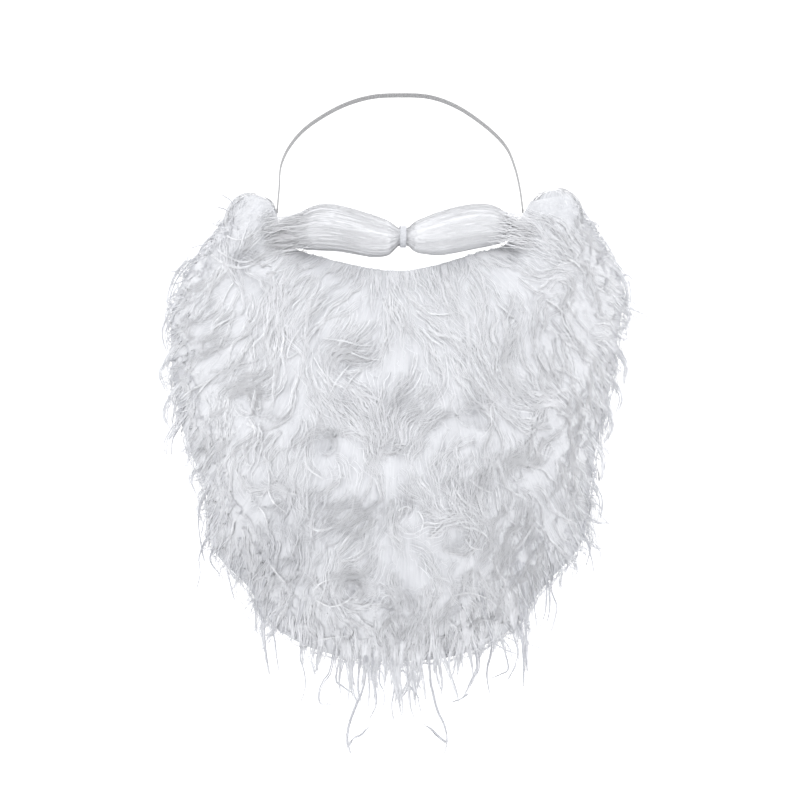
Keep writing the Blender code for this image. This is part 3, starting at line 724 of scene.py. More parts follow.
# %% Packed mass
MASS_AROUND, MASS_OUT, MASS_BACK = 260, 100, 12
FURROWS, FURROW_DEPTH, FURROW_FADE = 14, 0.5 * MM, 0.05
UNDER_STRANDS, BEFORE_CLOTH, LEAST_THICKNESS = 0.6 * MM, 0.5 * MM, 1.2 * MM
MASS_TONE = 0.72
generator = np.random.default_rng(5)
around = np.linspace(0.0, 1.0, MASS_AROUND)[:, None]
out = np.linspace(0.0, 1.0, MASS_OUT)[None, :]
front = mass_point(around, out)
front[..., 1] = read_map(front_depth, front[..., 0], front[..., 2])
edge_fade = np.clip(np.minimum(out / FURROW_FADE, (1.0 - out) / FURROW_FADE), 0.0, 1.0)
front[..., 1] += FURROW_DEPTH * furrows(around, out, FURROWS, generator) * edge_fade + UNDER_STRANDS
front[..., 1] = np.minimum(front[..., 1], cloth_y(front[..., 0], front[..., 2]) - LEAST_THICKNESS)
back_out = np.linspace(1.0, 0.0, MASS_BACK)[None, :]
back = mass_point(around, back_out)
back[..., 1] = cloth_y(back[..., 0], back[..., 2]) - BEFORE_CLOTH
mass_rings = np.concatenate([front, back], axis=1)
sides = mass_rings.shape[1]
mass_points = np.concatenate([mass_rings.reshape(-1, 3), mass_rings[[0, -1]].mean(axis=1)])
packed_mass = make_piece("packed_beard_fibre", mass_points, closed_tube_faces(MASS_AROUND, sides), packed_fibre)
uv_around = np.broadcast_to(around, (MASS_AROUND, sides))
uv_out = np.broadcast_to(np.concatenate([out[0], back_out[0]])[None, :], (MASS_AROUND, sides))
fibre_uv = np.concatenate([np.stack([uv_around, uv_out], axis=-1).reshape(-1, 2), [[0.0, 0.5], [1.0, 0.5]]])
put_map(packed_mass, fibre_uv)
# The mass's tone less the painted shade of the shadow patches
put_attribute(packed_mass, "tone_and_painted_light", MASS_TONE - shadow_share(mass_points[:, 0], mass_points[:, 2]))
print("packed mass has", len(packed_mass.data.polygons), "faces")

# %% [markdown]
# ## How the strands run
# Loose fibre leaves the mouth edge along the rays, falls more steeply towards the outline, wanders, and
# winds round a few curls that show as rosettes. The run at any place is an angle in the front view: the
# direction away from a point above the lip, pulled down by weight, turned by smooth waves, and turned
# across where it comes near a curl. Combing particle hair by hand could give the same run, but a formula
# is the same each time and serves every layer of strands.

# %% Run of the fibre
RUN_CENTRE = 34.0
# x, z, radius, strength
CURLS = np.array([
    [-35.0, -254.0, 17.0, 1.5], [43.0, -216.0, 18.0, -1.5], [4.0, -207.0, 12.0, 1.2],
    [-54.0, -150.0, 13.0, 1.3], [56.0, -130.0, 13.0, -1.3], [-40.0, -92.0, 20.0, 0.9],
    [-110.0, -20.0, 17.0, 0.9], [116.0, -34.0, 18.0, -0.9], [-112.0, -118.0, 18.0, 1.0],
    [110.0, -128.0, 18.0, -1.0], [86.0, -170.0, 15.0, 1.1], [-92.0, -190.0, 16.0, -1.1],
    [60.0, -285.0, 14.0, 1.2], [-70.0, -290.0, 14.0, -1.2], [-8.0, -262.0, 12.0, -1.0],
    [-10.0, -158.0, 14.0, 0.8],
])
WAVES = np.random.default_rng(21).uniform(-1.0, 1.0, (10, 4))[:, :3]


def run_angle(x, z):
    """The angle of the fibre in the front view, in radians from +X."""
    x_mm, z_mm = x / MM, z / MM
    away_x = 0.86 * x_mm
    away_z = z_mm - RUN_CENTRE
    length = np.maximum(np.hypot(away_x, away_z), 1.0)
    weight = 0.25 + 0.75 * np.clip((length - 60.0) / 160.0, 0.0, 1.0)
    run_x = away_x / length
    run_z = away_z / length - weight
    angle = np.arctan2(run_z, run_x)
    for across, down, start in WAVES:
        wave = x_mm * (0.030 + 0.035 * abs(across)) * np.sign(across) + z_mm * (0.030 + 0.035 * abs(down))
        angle = angle + 0.16 * np.sin(wave + FULL_TURN * start)
    for centre_x, centre_z, radius, strength in CURLS:
        to_x, to_z = x_mm - centre_x, z_mm - centre_z
        near = np.exp(-(to_x ** 2 + to_z ** 2) / radius ** 2)
        round_angle = np.arctan2(to_z, to_x) + math.copysign(math.pi / 2, strength)
        turn_by = np.angle(np.exp(1j * (round_angle - angle)))
        angle = angle + np.clip(abs(strength) * near, 0.0, 1.0) * turn_by
    return angle


print("under the lip the fibre runs at", round(math.degrees(float(run_angle(0.0, -0.06)))), "degrees")

# %% [markdown]
# ## From lines to strands
# A strand is a thin tube with three sides that narrows to its tip, so that thousands of them stay
# light. Blender's own hair would be lighter still, but it isn't a mesh and can't leave with the model.
# Many strands share one lock: the lock's line is walked step by step along the run of the fibre, its
# strands start spread out round it and draw together towards its tip, and each one wavers a little by
# itself.

# %% Strand tubes
STRAND_SIDES = 3


def strand_tubes(name, paths, radii, tones, material, soft=None, soft_share=0.7):
    """Closed tubes along paths (n, m, 3): rings turned about each path's own direction, capped at both ends.

    Where soft holds a direction for each path point, the tube is shaded mostly as if it faced that way:
    soft_share of that direction and the rest of its own. Fine fibre scatters light between its
    strands, so the whole lock takes the light as one soft surface.
    """
    count, steps = paths.shape[:2]
    direction = unit(np.gradient(paths, axis=1))
    lean = np.array([0.17, -0.93, 0.33])
    side = unit(np.cross(direction, lean))
    up = np.cross(direction, side)
    turn = 2 * math.pi * np.arange(STRAND_SIDES) / STRAND_SIDES
    rings = (paths[:, :, None, :] + radii[:, :, None, None]
             * (np.cos(turn)[:, None] * side[:, :, None, :] + np.sin(turn)[:, None] * up[:, :, None, :]))
    base = (np.arange(count)[:, None, None] * steps + np.arange(steps - 1)[None, :, None]) * STRAND_SIDES
    k = np.arange(STRAND_SIDES)[None, None, :]
    after = (k + 1) % STRAND_SIDES
    low, low_next = base + k, base + after
    high, high_next = low + STRAND_SIDES, low_next + STRAND_SIDES
    walls = np.concatenate([
        np.stack([low, low_next, high_next], axis=-1).reshape(-1, 3),
        np.stack([low, high_next, high], axis=-1).reshape(-1, 3),
    ])
    roots = np.arange(count) * steps * STRAND_SIDES
    tips = roots + (steps - 1) * STRAND_SIDES
    caps = np.concatenate([
        np.stack([roots + 2, roots + 1, roots], axis=1),
        np.stack([tips, tips + 1, tips + 2], axis=1),
    ])
    piece = make_piece(name, rings, np.concatenate([walls, caps]), material)
    along_tones = np.broadcast_to(tones[:, None] if tones.ndim == 1 else tones, (count, steps))
    # Each point keeps its strand's tone, with painted shade or painted highlight in it
    put_attribute(piece, "tone_and_painted_light", np.repeat(along_tones.reshape(-1), STRAND_SIDES))
    if soft is not None:
        own = unit(rings - paths[:, :, None, :])
        share = soft_share[..., None, None] if np.ndim(soft_share) else soft_share
        normals = unit(own * (1.0 - share) + soft[:, :, None, :] * share)
        piece.data.normals_split_custom_set_from_vertices(normals.reshape(-1, 3))
    return piece


print("each strand has", STRAND_SIDES, "sides")


# %% Softness and shade
def over_mass(paths, share=0.9):
    """The soft share of strands on the beard: full over the mass, none where they hang free past it."""
    return share * np.clip(2.2 * read_map(cover, paths[..., 0], paths[..., 2]) - 1.2, 0.0, 1.0)


def beard_tones(paths, tones):
    """Each strand's own tone, less the shadows of the places that it runs through."""
    return np.clip(tones[:, None] - shadow_share(paths[..., 0], paths[..., 2]), 0.0, 1.0)


# %% Lines of locks
def walk_locks(x, z, length, steps, generator, wave=0.5, curl=0.0):
    """Walk lock lines from their roots: each step follows the run of the fibre, a wave and a growing curl."""
    count = len(x)
    place_x, place_z = x.copy(), z.copy()
    phase = generator.uniform(0, FULL_TURN, count)
    turns = generator.uniform(1.2, 2.6, count)
    swing = wave * generator.uniform(0.4, 1.3, count)
    veer = wave * generator.normal(0.0, 0.55, count)
    hook = curl * generator.choice([-1.0, 1.0], count) * generator.uniform(0.2, 1.0, count)
    lines = np.empty((count, steps, 2))
    for step in range(steps):
        share = step / (steps - 1)
        lines[:, step, 0], lines[:, step, 1] = place_x, place_z
        angle = run_angle(place_x, place_z) + swing * (0.4 + share) * np.sin(FULL_TURN * turns * share + phase)
        angle = angle + veer * (1.0 - share) + hook * share ** 2 * 3.0
        place_x = place_x + np.cos(angle) * length / (steps - 1)
        place_z = place_z + np.sin(angle) * length / (steps - 1)
    return lines


example = walk_locks(np.array([0.0]), np.array([-0.06]), np.array([0.04]), 8, np.random.default_rng(1))
print("a lock of 40 mm under the lip ends", (example[0, -1] / MM).round(1), "mm from the lip")


# %% Strands of a lock
MEAN_TONE = 0.72
ROOT_DEPTH = 1.5 * MM


def lock_strands(lines, per_lock, spread, lift, generator, thickness, tip_lift):
    """Strands round lock lines: offset at the root, drawn together at the tip, lying on the front map."""
    count, steps = lines.shape[:2]
    total = count * per_lock
    share = np.linspace(0.0, 1.0, steps)[None, :]
    centre = np.repeat(lines, per_lock, axis=0)
    heading = unit(np.gradient(centre, axis=1))
    across = np.stack([-heading[..., 1], heading[..., 0]], axis=-1)
    turn = generator.uniform(0, FULL_TURN, total)
    away = np.sqrt(generator.uniform(0, 1, total)) * np.repeat(spread, per_lock)
    draw_in = 1.0 - 0.72 * share ** 1.4
    sideways = (away * np.cos(turn))[:, None] * draw_in
    waver = generator.uniform(0.2, 0.9, total)[:, None] * MM
    sideways = sideways + waver * np.sin(FULL_TURN * share * generator.uniform(1, 3.5, total)[:, None]
                                         + generator.uniform(0, FULL_TURN, total)[:, None]) * (0.3 + share)
    shrink = generator.uniform(0.72, 1.0, total)[:, None] * share * (steps - 1)
    low = np.minimum(shrink.astype(int), steps - 2)
    part = (shrink - low)[..., None]
    rows = np.arange(total)[:, None]
    centre = centre[rows, low] * (1 - part) + centre[rows, low + 1] * part
    across = across[rows, low]
    flat = centre + across * sideways[..., None]
    arch = 0.25 + 0.9 * np.sin(math.pi * np.clip(share * 0.75 + 0.1, 0, 1))
    raised = np.repeat(lift, per_lock)[:, None] * arch
    raised = raised + (0.5 * away * np.sin(turn))[:, None] * draw_in
    raised = raised + tip_lift * MM * share ** 3 * generator.uniform(-0.4, 1.0, total)[:, None]
    raised[:, 0] = -ROOT_DEPTH
    y = read_map(front_depth, flat[..., 0], flat[..., 1]) - raised
    paths = np.stack([flat[..., 0], y, flat[..., 1]], axis=-1)
    thick = thickness * MM * generator.uniform(0.7, 1.2, total)[:, None]
    radii = thick * np.interp(share, (0.0, 0.3, 0.7, 1.0), (0.9, 1.0, 0.8, 0.12))
    lock_tones = np.repeat(generator.normal(0.0, 0.05, count), per_lock)
    tones = MEAN_TONE + lock_tones + generator.normal(0.0, 0.06, total)
    return paths, radii, tones


print(f"roots stand {ROOT_DEPTH / MM:.1f} mm inside the mass")

# %% [markdown]
# ## The loose fibre, from the top down
# The locks are laid in four rows that overlap, from the mouth to the outline. Their roots are spread
# evenly over the front view, so that no row shows as a line. Most locks are loose and soft. Some, more of
# them towards the sides, are drawn tight and stand a little higher, with a lighter tone that is a painted
# highlight: those are the single wavy strands that show on the real one. Copies of a few locks would be
# quicker, but the eye finds repeats.

# %% Roots and pieces
replacing = [packed_mass]


def scattered_roots(count, out_low, out_high, generator):
    """Random roots on the mass, even by area in the front view, between two shares of the way out."""
    share = out_map[mass_cells[:, 0], mass_cells[:, 1]]
    cells = mass_cells[(share >= out_low) & (share <= out_high)]
    chosen = cells[generator.integers(0, len(cells), count)] + generator.uniform(-0.5, 0.5, (count, 2))
    place = MAP_LOW + chosen * MAP_STEP
    return place[:, 0], place[:, 1]


def lay_strands(name, paths, radii, tones, material=beard_fibre, soft=None, soft_share=0.7):
    """Strands that belong to the beard's own fibre: tubes that stand for its solid."""
    piece = strand_tubes(name, paths, radii, tones, material, soft, soft_share)
    replacing.append(piece)
    print(name, len(paths), "strands,", len(piece.data.polygons), "faces")


def lay_on_front(name, paths, radii, tones, material=beard_fibre):
    """Strands on the front: greyer in its shadows, and lit as its soft surface is."""
    soft = front_normal(paths[..., 0], paths[..., 2])
    lay_strands(name, paths, radii, beard_tones(paths, tones), material, soft, over_mass(paths))


print("pieces that stand for the beard's solid so far:", len(replacing))

# %% Locks of the beard
LOCK_STEPS, SHORT_STEPS = 8, 7
# The tight locks' extra tone is a painted highlight
TIGHT_WIDTH, TIGHT_LIFT, TIGHT_HIGHLIGHT = 0.42, 0.35, 0.09
# name, out_low, out_high, locks, strands in each, shortest, longest, spread, wave, curl
ROWS = (
    ("upper_strands", 0.00, 0.40, 240, 9, 26.0, 52.0, 5.0, 0.50, 0.30),
    ("middle_strands", 0.34, 0.62, 240, 9, 26.0, 52.0, 5.2, 0.60, 0.45),
    ("lower_strands", 0.58, 0.82, 240, 9, 26.0, 50.0, 5.0, 0.65, 0.60),
    ("edge_strands", 0.78, 1.00, 240, 9, 22.0, 42.0, 4.0, 0.65, 0.60),
)
for number, (name, low, high, locks, each, short, long, spread, wave, curl) in enumerate(ROWS):
    generator = np.random.default_rng(40 + number)
    x, z = scattered_roots(locks, low, high, generator)
    length = generator.uniform(short, long, len(x)) * MM
    lines = walk_locks(x, z, length, LOCK_STEPS, generator, wave, curl)
    tight = generator.uniform(0, 1, len(x)) < 0.08 + 0.3 * np.clip(np.abs(x) / (110.0 * MM), 0.0, 1.0)
    width = spread * MM * generator.uniform(0.7, 1.5, len(x)) * np.where(tight, TIGHT_WIDTH, 1.0)
    height = generator.uniform(0.1, 0.7, len(x)) * MM + np.where(tight, TIGHT_LIFT, 0.0) * MM
    paths, radii, tones = lock_strands(lines, each, width, height, generator, 0.17, 0.5)
    lay_on_front(name, paths, radii, tones + np.repeat(np.where(tight, TIGHT_HIGHLIGHT, 0.0), each))

# %% [markdown]
# ## Frizz
# Over the locks lies a thin haze of single fine strands that run every way, shorter and more curled than
# the rest. It softens the locks' edges, which more locks could never do.

# %% Frizz
FRIZZ_STRANDS = 1150
generator = np.random.default_rng(58)
x, z = scattered_roots(FRIZZ_STRANDS, 0.0, 1.0, generator)
length = generator.uniform(9, 24, FRIZZ_STRANDS) * MM
lines = walk_locks(x, z, length, SHORT_STEPS, generator, 1.5, 1.2)
spread = np.full(FRIZZ_STRANDS, 1.0 * MM)
height = generator.uniform(0.6, 2.0, FRIZZ_STRANDS) * MM
paths, radii, tones = lock_strands(lines, 1, spread, height, generator, 0.13, 0.8)
lay_on_front("frizz", paths, radii, tones + 0.08)

# %% [markdown]
# ## The edge round the mouth
# Along the mouth the fibre turns over the cloth's edge. A hem could cover the step between the mass and
# the cloth, but the real one has none, so short strands that start on the edge itself hide it.

# %% Mouth edge
EDGE_LOCKS = 160
generator = np.random.default_rng(77)
edge_point = mass_point(generator.uniform(0.02, 0.98, EDGE_LOCKS), np.zeros(EDGE_LOCKS))
length = generator.uniform(10, 24, EDGE_LOCKS) * MM
lines = walk_locks(edge_point[:, 0], edge_point[:, 2] + 0.4 * MM, length, SHORT_STEPS, generator, 0.4, 0.1)
spread, height = np.full(EDGE_LOCKS, 2.4 * MM), np.full(EDGE_LOCKS, 0.4 * MM)
paths, radii, tones = lock_strands(lines, 5, spread, height, generator, 0.18, 0.4)
lay_strands("mouth_edge_strands", paths, radii, beard_tones(paths, tones),
            soft=front_normal(paths[..., 0], paths[..., 2]))

# %% [markdown]
# ## The corner tufts
# At each top corner the fibre stands up in a rounded tuft, under which the elastic is sewn. Each tuft is
# an ellipsoid that leans and is pressed flat at the back, with short strands that run down from its top
# over it. A scaled sphere object would give the same body, but its strands need the same formula anyway.

# %% Corner tufts
TUFT_AROUND, TUFT_DOWN = 56, 30
TUFT_STRANDS, TUFT_STEPS = 380, 8


def tuft_point(tuft, turn, down, grow=0.0):
    """A point on a tuft: turn goes round its upright axis, down goes from its top to its foot."""
    x, z, half_width, half_height, half_depth, lean = tuft
    turn, down = np.broadcast_arrays(turn, down)
    wide = (half_width + grow) * np.sin(down) * np.cos(turn)
    deep = (half_depth + grow) * np.sin(down) * np.sin(turn)
    high = (half_height + grow) * np.cos(down)
    leaned = math.radians(lean)
    world_x = (x + wide * math.cos(leaned) + high * math.sin(leaned)) * MM
    world_z = (z + high * math.cos(leaned) - wide * math.sin(leaned)) * MM
    world_y = np.minimum(tuft_middle(x, z, half_depth) - deep * MM, cloth_y(world_x, world_z) - 0.6 * MM)
    return np.stack([world_x, world_y, world_z], axis=-1)


for number, tuft in enumerate(TUFTS):
    generator = np.random.default_rng(120 + number)
    turn = np.linspace(0, 2 * math.pi, TUFT_AROUND, endpoint=False)[None, :]
    down = np.linspace(0.04, math.pi - 0.04, TUFT_DOWN)[:, None]
    swell = 0.5 * np.sin(5 * turn + 3 * down + number) + 0.35 * np.sin(11 * turn - 2 * down)
    sink = 1.0 + 5.0 * np.clip(down / math.pi - 0.45, 0.0, 1.0)
    rings = tuft_point(tuft, turn, down, swell * np.sin(down) - sink)
    ends = tuft_point(tuft, np.zeros(2), np.array([0.0, math.pi]), np.array([-1.0, -3.75]))
    points = np.concatenate([rings.reshape(-1, 3), ends])
    faces = closed_tube_faces(TUFT_DOWN, TUFT_AROUND)
    body = make_piece(f"corner_tuft_body_{number}", points, faces, packed_fibre)
    uv_turn = np.minimum(turn, 2 * math.pi - turn) / 40.0
    uv = np.stack(np.broadcast_arrays(uv_turn, down / 6.0), axis=-1).reshape(-1, 2)
    put_map(body, np.concatenate([uv, [[0.0, 0.0], [0.0, 0.5]]]))
    # A tone below the mass's: painted shade that darkens the tuft
    put_attribute(body, "tone_and_painted_light", np.full(len(uv) + 2, 0.6))
    replacing.append(body)
    each = (TUFT_STRANDS, 1)
    share = np.linspace(0, 1, TUFT_STEPS)[None, :]
    start = np.arccos(1.0 - 1.2 * generator.uniform(0, 1, each))
    strand_down = start + share * generator.uniform(0.5, 1.4, each)
    strand_turn = generator.uniform(0.0, 2 * math.pi, each) + 0.22 * np.sin(
        FULL_TURN * share * generator.uniform(0.4, 1.2, each) + generator.uniform(0, FULL_TURN, each)) * share
    lift = 0.1 + 1.1 * np.sin(math.pi * share) * generator.uniform(0, 1, each) + 1.4 * share ** 2
    paths = tuft_point(tuft, strand_turn, strand_down, lift)
    radii = 0.2 * MM * np.interp(share, (0, 0.4, 1), (0.6, 1.0, 0.15)) * generator.uniform(0.7, 1.2, each)
    middle = tuft_point(tuft, np.zeros(1), np.full(1, math.pi / 2), -tuft[2])[0]
    # Painted shade: the tuft's strands take a low tone too
    tones = generator.normal(0.5, 0.1, TUFT_STRANDS)
    lay_strands(f"corner_tuft_strands_{number}", paths, radii, tones, soft=unit(paths - middle))

# %% [markdown]
# ## The fringe
# Locks with free ends hang past the mass all round, longest below the tip. The mass itself could reach
# as far, but its edge would look cut. So they start well inside the outline, and its edge is never bare.

# %% Fringe locks
FRINGE_LOCKS = 150
generator = np.random.default_rng(17)
round_all = generator.uniform(0.04, 0.96, FRINGE_LOCKS // 2)
round_tip = np.clip(generator.normal(0.5, 0.13, FRINGE_LOCKS - FRINGE_LOCKS // 2), 0.1, 0.9)
fringe_round = np.concatenate([round_all, round_tip])
fringe_point = mass_point(fringe_round, generator.uniform(0.86, 0.99, FRINGE_LOCKS))
low_down = np.clip(-fringe_point[:, 2] / (300.0 * MM), 0.0, 1.0)
length = (12.0 + 26.0 * low_down) * generator.uniform(0.6, 1.25, FRINGE_LOCKS) * MM
lines = walk_locks(fringe_point[:, 0], fringe_point[:, 2], length, LOCK_STEPS, generator, 0.6, 0.7)
spread, height = generator.uniform(1.6, 3.6, FRINGE_LOCKS) * MM, np.full(FRINGE_LOCKS, 0.6 * MM)
paths, radii, tones = lock_strands(lines, 9, spread, height, generator, 0.22, 0.5)
lay_on_front("fringe_strands", paths, radii, tones)

# %% [markdown]
# ## Wisps past the outline
# Thin locks leave the outline all round and hang, bend or hook. They are what makes the edge look soft.
# A soft picture on the edge could fake them, but only for one view, so they are strands like the rest.

# %% Wisps
WISP_LOCKS = 400
generator = np.random.default_rng(91)
wisp_round = generator.uniform(0.03, 0.97, WISP_LOCKS)
wisp_point = mass_point(wisp_round, generator.uniform(0.84, 1.0, WISP_LOCKS))
length = generator.uniform(9, 24, WISP_LOCKS) * MM
lines = walk_locks(wisp_point[:, 0], wisp_point[:, 2], length, LOCK_STEPS, generator, 1.1, 1.0)
spread, height = np.full(WISP_LOCKS, 1.6 * MM), np.full(WISP_LOCKS, 0.5 * MM)
paths, radii, tones = lock_strands(lines, 4, spread, height, generator, 0.19, 0.6)
paths[..., 1] = np.minimum(paths[..., 1], cloth_y(paths[..., 0], paths[..., 2]) + 2.0 * MM)
lay_on_front("outline_wisps", paths, radii, tones, shaded_wisp_fibre)

# %% [markdown]
# ## Bundles along curves
# Some locks are known one by one: those that turn out past the sides, those that draw together below the
# tip, and the long ones with free ends. Each follows a short curve of a few points in the front view. A
# curve object for each would do, but a helper makes a whole table of them into one light piece.

# %% Bundle helper
LEAST_STRANDS, STRANDS_PER_MM = 4, 3
LOWEST_READ = -322.0 * MM


def bundles(curves, steps, tight, lift, generator, thickness, rise=0.0, inward=0.9):
    """Bundles along curves in the front view: each strand keeps its place across the bundle and wavers.

    Towards its end a bundle narrows by the share tight, and midway it stands lift mm over the mass. With
    a rise, each curve that falls first comes that far down from inside the mass.
    """
    made, sizes = [], []
    share = np.linspace(0, 1, steps)[None, :]
    for width, line in curves:
        if rise and line[-1][1] < line[0][1] - 6.0:
            line = ((line[0][0] * inward, line[0][1] + rise), *line)
        centre = smooth_table(np.array(line, float), np.linspace(0, len(line) - 1, steps)) * MM
        heading = unit(np.gradient(centre, axis=0))
        across = np.stack([-heading[:, 1], heading[:, 0]], axis=-1)
        each = int(LEAST_STRANDS + STRANDS_PER_MM * width)
        place = generator.uniform(-0.5, 0.5, (each, 1)) * width * MM * (1.0 - tight * share)
        beats = FULL_TURN * share * generator.uniform(0.6, 2.2, (each, 1))
        place = place + 0.22 * MM * np.sin(beats + generator.uniform(0, FULL_TURN, (each, 1)))
        flat = centre[None] + across[None] * place[..., None]
        arch = np.sin(math.pi * np.clip(share * 0.8 + 0.12, 0, 1))
        high = lift * MM * generator.uniform(0.5, 1.3, (each, 1)) * arch
        y = read_map(front_depth, flat[..., 0], np.maximum(flat[..., 1], LOWEST_READ)) - high
        made.append(np.stack([flat[..., 0], y, flat[..., 1]], axis=-1))
        thin = np.interp(share, (0, 0.2, 0.7, 1), (0.6, 1.0, 0.85, 0.2))
        sizes.append(thickness * MM * generator.uniform(0.75, 1.2, (each, 1)) * thin)
    return np.concatenate(made), np.concatenate(sizes)


print("a bundle 2 mm wide has", LEAST_STRANDS + STRANDS_PER_MM * 2, "strands")

# %% Locks past the sides
# Width, then x and z of the points of each lock that turns out past a side, in mm.
SIDE_LOCKS = (
    (5.4, ((-151, -15), (-161, -27), (-166, -39), (-168, -50))),
    (6.3, ((-158, -44), (-167, -58), (-171, -70), (-168, -82))),
    (5.4, ((-160, -76), (-168, -89), (-173, -99), (-168, -111))),
    (5.4, ((-157, -105), (-166, -117), (-170, -128), (-165, -138))),
    (6.3, ((-154, -127), (-163, -138), (-169, -148), (-168, -159))),
    (4.5, ((-141, -156), (-148, -166), (-151, -176), (-147, -186))),
    (4.5, ((-137, -172), (-143, -186), (-146, -197), (-142, -207))),
    (5.4, ((148, -15), (159, -24), (165, -36), (165, -50))),
    (5.4, ((153, -40), (162, -49), (166, -58), (160, -68))),
    (6.3, ((147, -73), (156, -81), (163, -93), (161, -107))),
    (5.4, ((144, -96), (154, -105), (160, -116), (156, -127))),
    (5.4, ((141, -116), (150, -125), (153, -138), (147, -148))),
    (4.5, ((137, -145), (145, -155), (147, -166), (144, -177))),
    (4.5, ((135, -174), (143, -184), (145, -195), (142, -207))),
)
generator = np.random.default_rng(73)
paths, radii = bundles(SIDE_LOCKS, LOCK_STEPS, 0.6, 1.2, generator, 0.2)
lay_on_front("side_locks", paths, radii, generator.normal(0.75, 0.08, len(paths)))

# %% [markdown]
# ## Drawn-together tips
# Below the tip the fibre gathers into tapered bundles with gaps between them. Each bundle is a curve that
# wavers as it hangs, and its strands meet near its end. They fall by chance, more of them near the middle,
# because the eye only reads how many there are and how they taper.

# %% Tips
TIP_COUNT, MIDDLE_TIPS = 58, 36
TIP_MIDDLE = -6.0
TIP_PARTS = (0.0, 0.2, 0.4, 0.6, 0.8, 1.0)
generator = np.random.default_rng(71)
tip_x = np.concatenate([generator.uniform(-62.0, 50.0, MIDDLE_TIPS),
                        generator.uniform(-112.0, 92.0, TIP_COUNT - MIDDLE_TIPS)])
tip_curves = []
for middle_x in tip_x:
    start_z = -302.0 + 0.0040 * (middle_x - TIP_MIDDLE) ** 2 + generator.uniform(-4.0, 14.0)
    drop = generator.uniform(22.0, 44.0) * (1.0 if abs(middle_x - TIP_MIDDLE) < 58.0 else 0.7)
    lean = generator.normal(-0.02 * np.sign(middle_x), 0.16)
    waver, beat = generator.uniform(0.8, 3.0), generator.uniform(0, FULL_TURN)
    tip_curves.append((generator.uniform(3.0, 6.5), tuple(
        (middle_x + lean * drop * part + waver * part * math.sin(5.0 * part + beat), start_z - drop * part)
        for part in TIP_PARTS)))
generator = np.random.default_rng(72)
paths, radii = bundles(tip_curves, LOCK_STEPS, 0.85, 1.4, generator, 0.2)
lay_on_front("drawn_tips", paths, radii, generator.normal(0.66, 0.08, len(paths)))

# %% [markdown]
# ## Strands with free ends
# The longest strands hang free below the tip and at the sides, and two of them end in a hook. They are
# placed one by one where they show. Those that fall start inside the mass, so that none hangs from
# nothing.

# %% Hanging strands
# Width, then x and z of the points of each strand with a free end, in mm.
FREE_STRANDS = (
    (2.6, ((-102, -260), (-99, -274), (-98, -290), (-96, -305), (-94, -315))),
    (1.4, ((-79, -260), (-86, -269), (-93, -275), (-90, -290), (-89, -301), (-87, -313))),
    (2.0, ((-74, -282), (-71, -294), (-72, -303), (-69, -313), (-68, -323), (-71, -334))),
    (2.4, ((-50, -313), (-55, -320), (-58, -328), (-57, -336), (-49, -336))),
    (1.6, ((-46, -318), (-42, -323), (-38, -326), (-33, -329))),
    (2.0, ((-30, -319), (-30, -326), (-28, -335))),
    (3.0, ((-26, -319), (-29, -330), (-32, -338), (-36, -349), (-38, -360), (-37, -368), (-35, -372))),
    (2.4, ((-37, -366), (-34, -361), (-28, -358), (-22, -352))),
    (2.0, ((-20, -316), (-18, -325), (-17, -333), (-18, -339), (-22, -347))),
    (1.4, ((-15, -319), (-12, -326), (-11, -333), (-13, -339))),
    (2.2, ((-6, -305), (-4, -315), (-4, -326), (-6, -337), (-4, -350))),
    (1.6, ((-4, -315), (2, -312), (7, -318), (5, -326), (-1, -335))),
    (1.6, ((6, -320), (9, -326), (14, -332))),
    (1.2, ((11, -323), (13, -333), (15, -342))),
    (2.6, ((22, -319), (24, -328), (27, -341), (32, -351), (34, -362), (32, -372))),
    (2.2, ((33, -364), (27, -359), (22, -354), (17, -351))),
    (3.6, ((56, -305), (55, -313), (51, -321), (46, -331))),
    (1.2, ((49, -329), (43, -333), (37, -335))),
    (2.2, ((63, -276), (66, -290), (66, -299), (63, -310), (63, -319), (65, -330))),
    (1.4, ((66, -289), (74, -296), (84, -300))),
    (2.0, ((85, -297), (84, -306), (81, -313), (77, -320))),
    (1.0, ((78, -310), (72, -315), (64, -318))),
    (8.0, ((89, -254), (89, -270), (90, -287), (90, -301), (91, -313))),
    (3.0, ((88, -290), (89, -305), (89, -324))),
    (1.6, ((96, -254), (97, -267), (99, -283))),
    (2.0, ((105, -240), (106, -254), (105, -269), (101, -281))),
    (2.0, ((110, -236), (109, -254), (113, -267), (109, -284))),
    (1.4, ((107, -251), (108, -265), (106, -277))),
    (1.8, ((-140, -184), (-145, -198), (-145, -211), (-143, -225), (-141, -234))),
    (1.6, ((-140, -218), (-145, -231), (-144, -243), (-147, -254))),
    (2.0, ((-131, -207), (-134, -222), (-137, -233), (-130, -243))),
    (1.6, ((-124, -236), (-122, -251), (-119, -262))),
    (1.6, ((134, -218), (138, -231), (140, -243))),
    (1.8, ((137, -193), (132, -211), (137, -224), (134, -237))),
    (1.2, ((-156, -51), (-164, -49), (-170, -45))),
    (1.0, ((-118, 22), (-123, 27), (-129, 31))),
    (1.0, ((-121, 18), (-126, 20), (-132, 22))),
    (1.0, ((156, -30), (163, -27), (168, -30))),
    (1.6, ((-158, -135), (-164, -146), (-165, -157))),
    (1.6, ((148, -117), (151, -128), (148, -140))),
)
generator = np.random.default_rng(13)
paths, radii = bundles(FREE_STRANDS, 14, 0.65, 1.0, generator, 0.24, 20.0, 0.93)
paths[..., 1] = np.minimum(paths[..., 1], cloth_y(paths[..., 0], paths[..., 2]) - 2.0 * MM)
# Their low tones add painted shade to the free strands
lay_strands("hanging_strands", paths, radii, generator.uniform(0.3, 0.8, len(paths)), shaded_wisp_fibre)
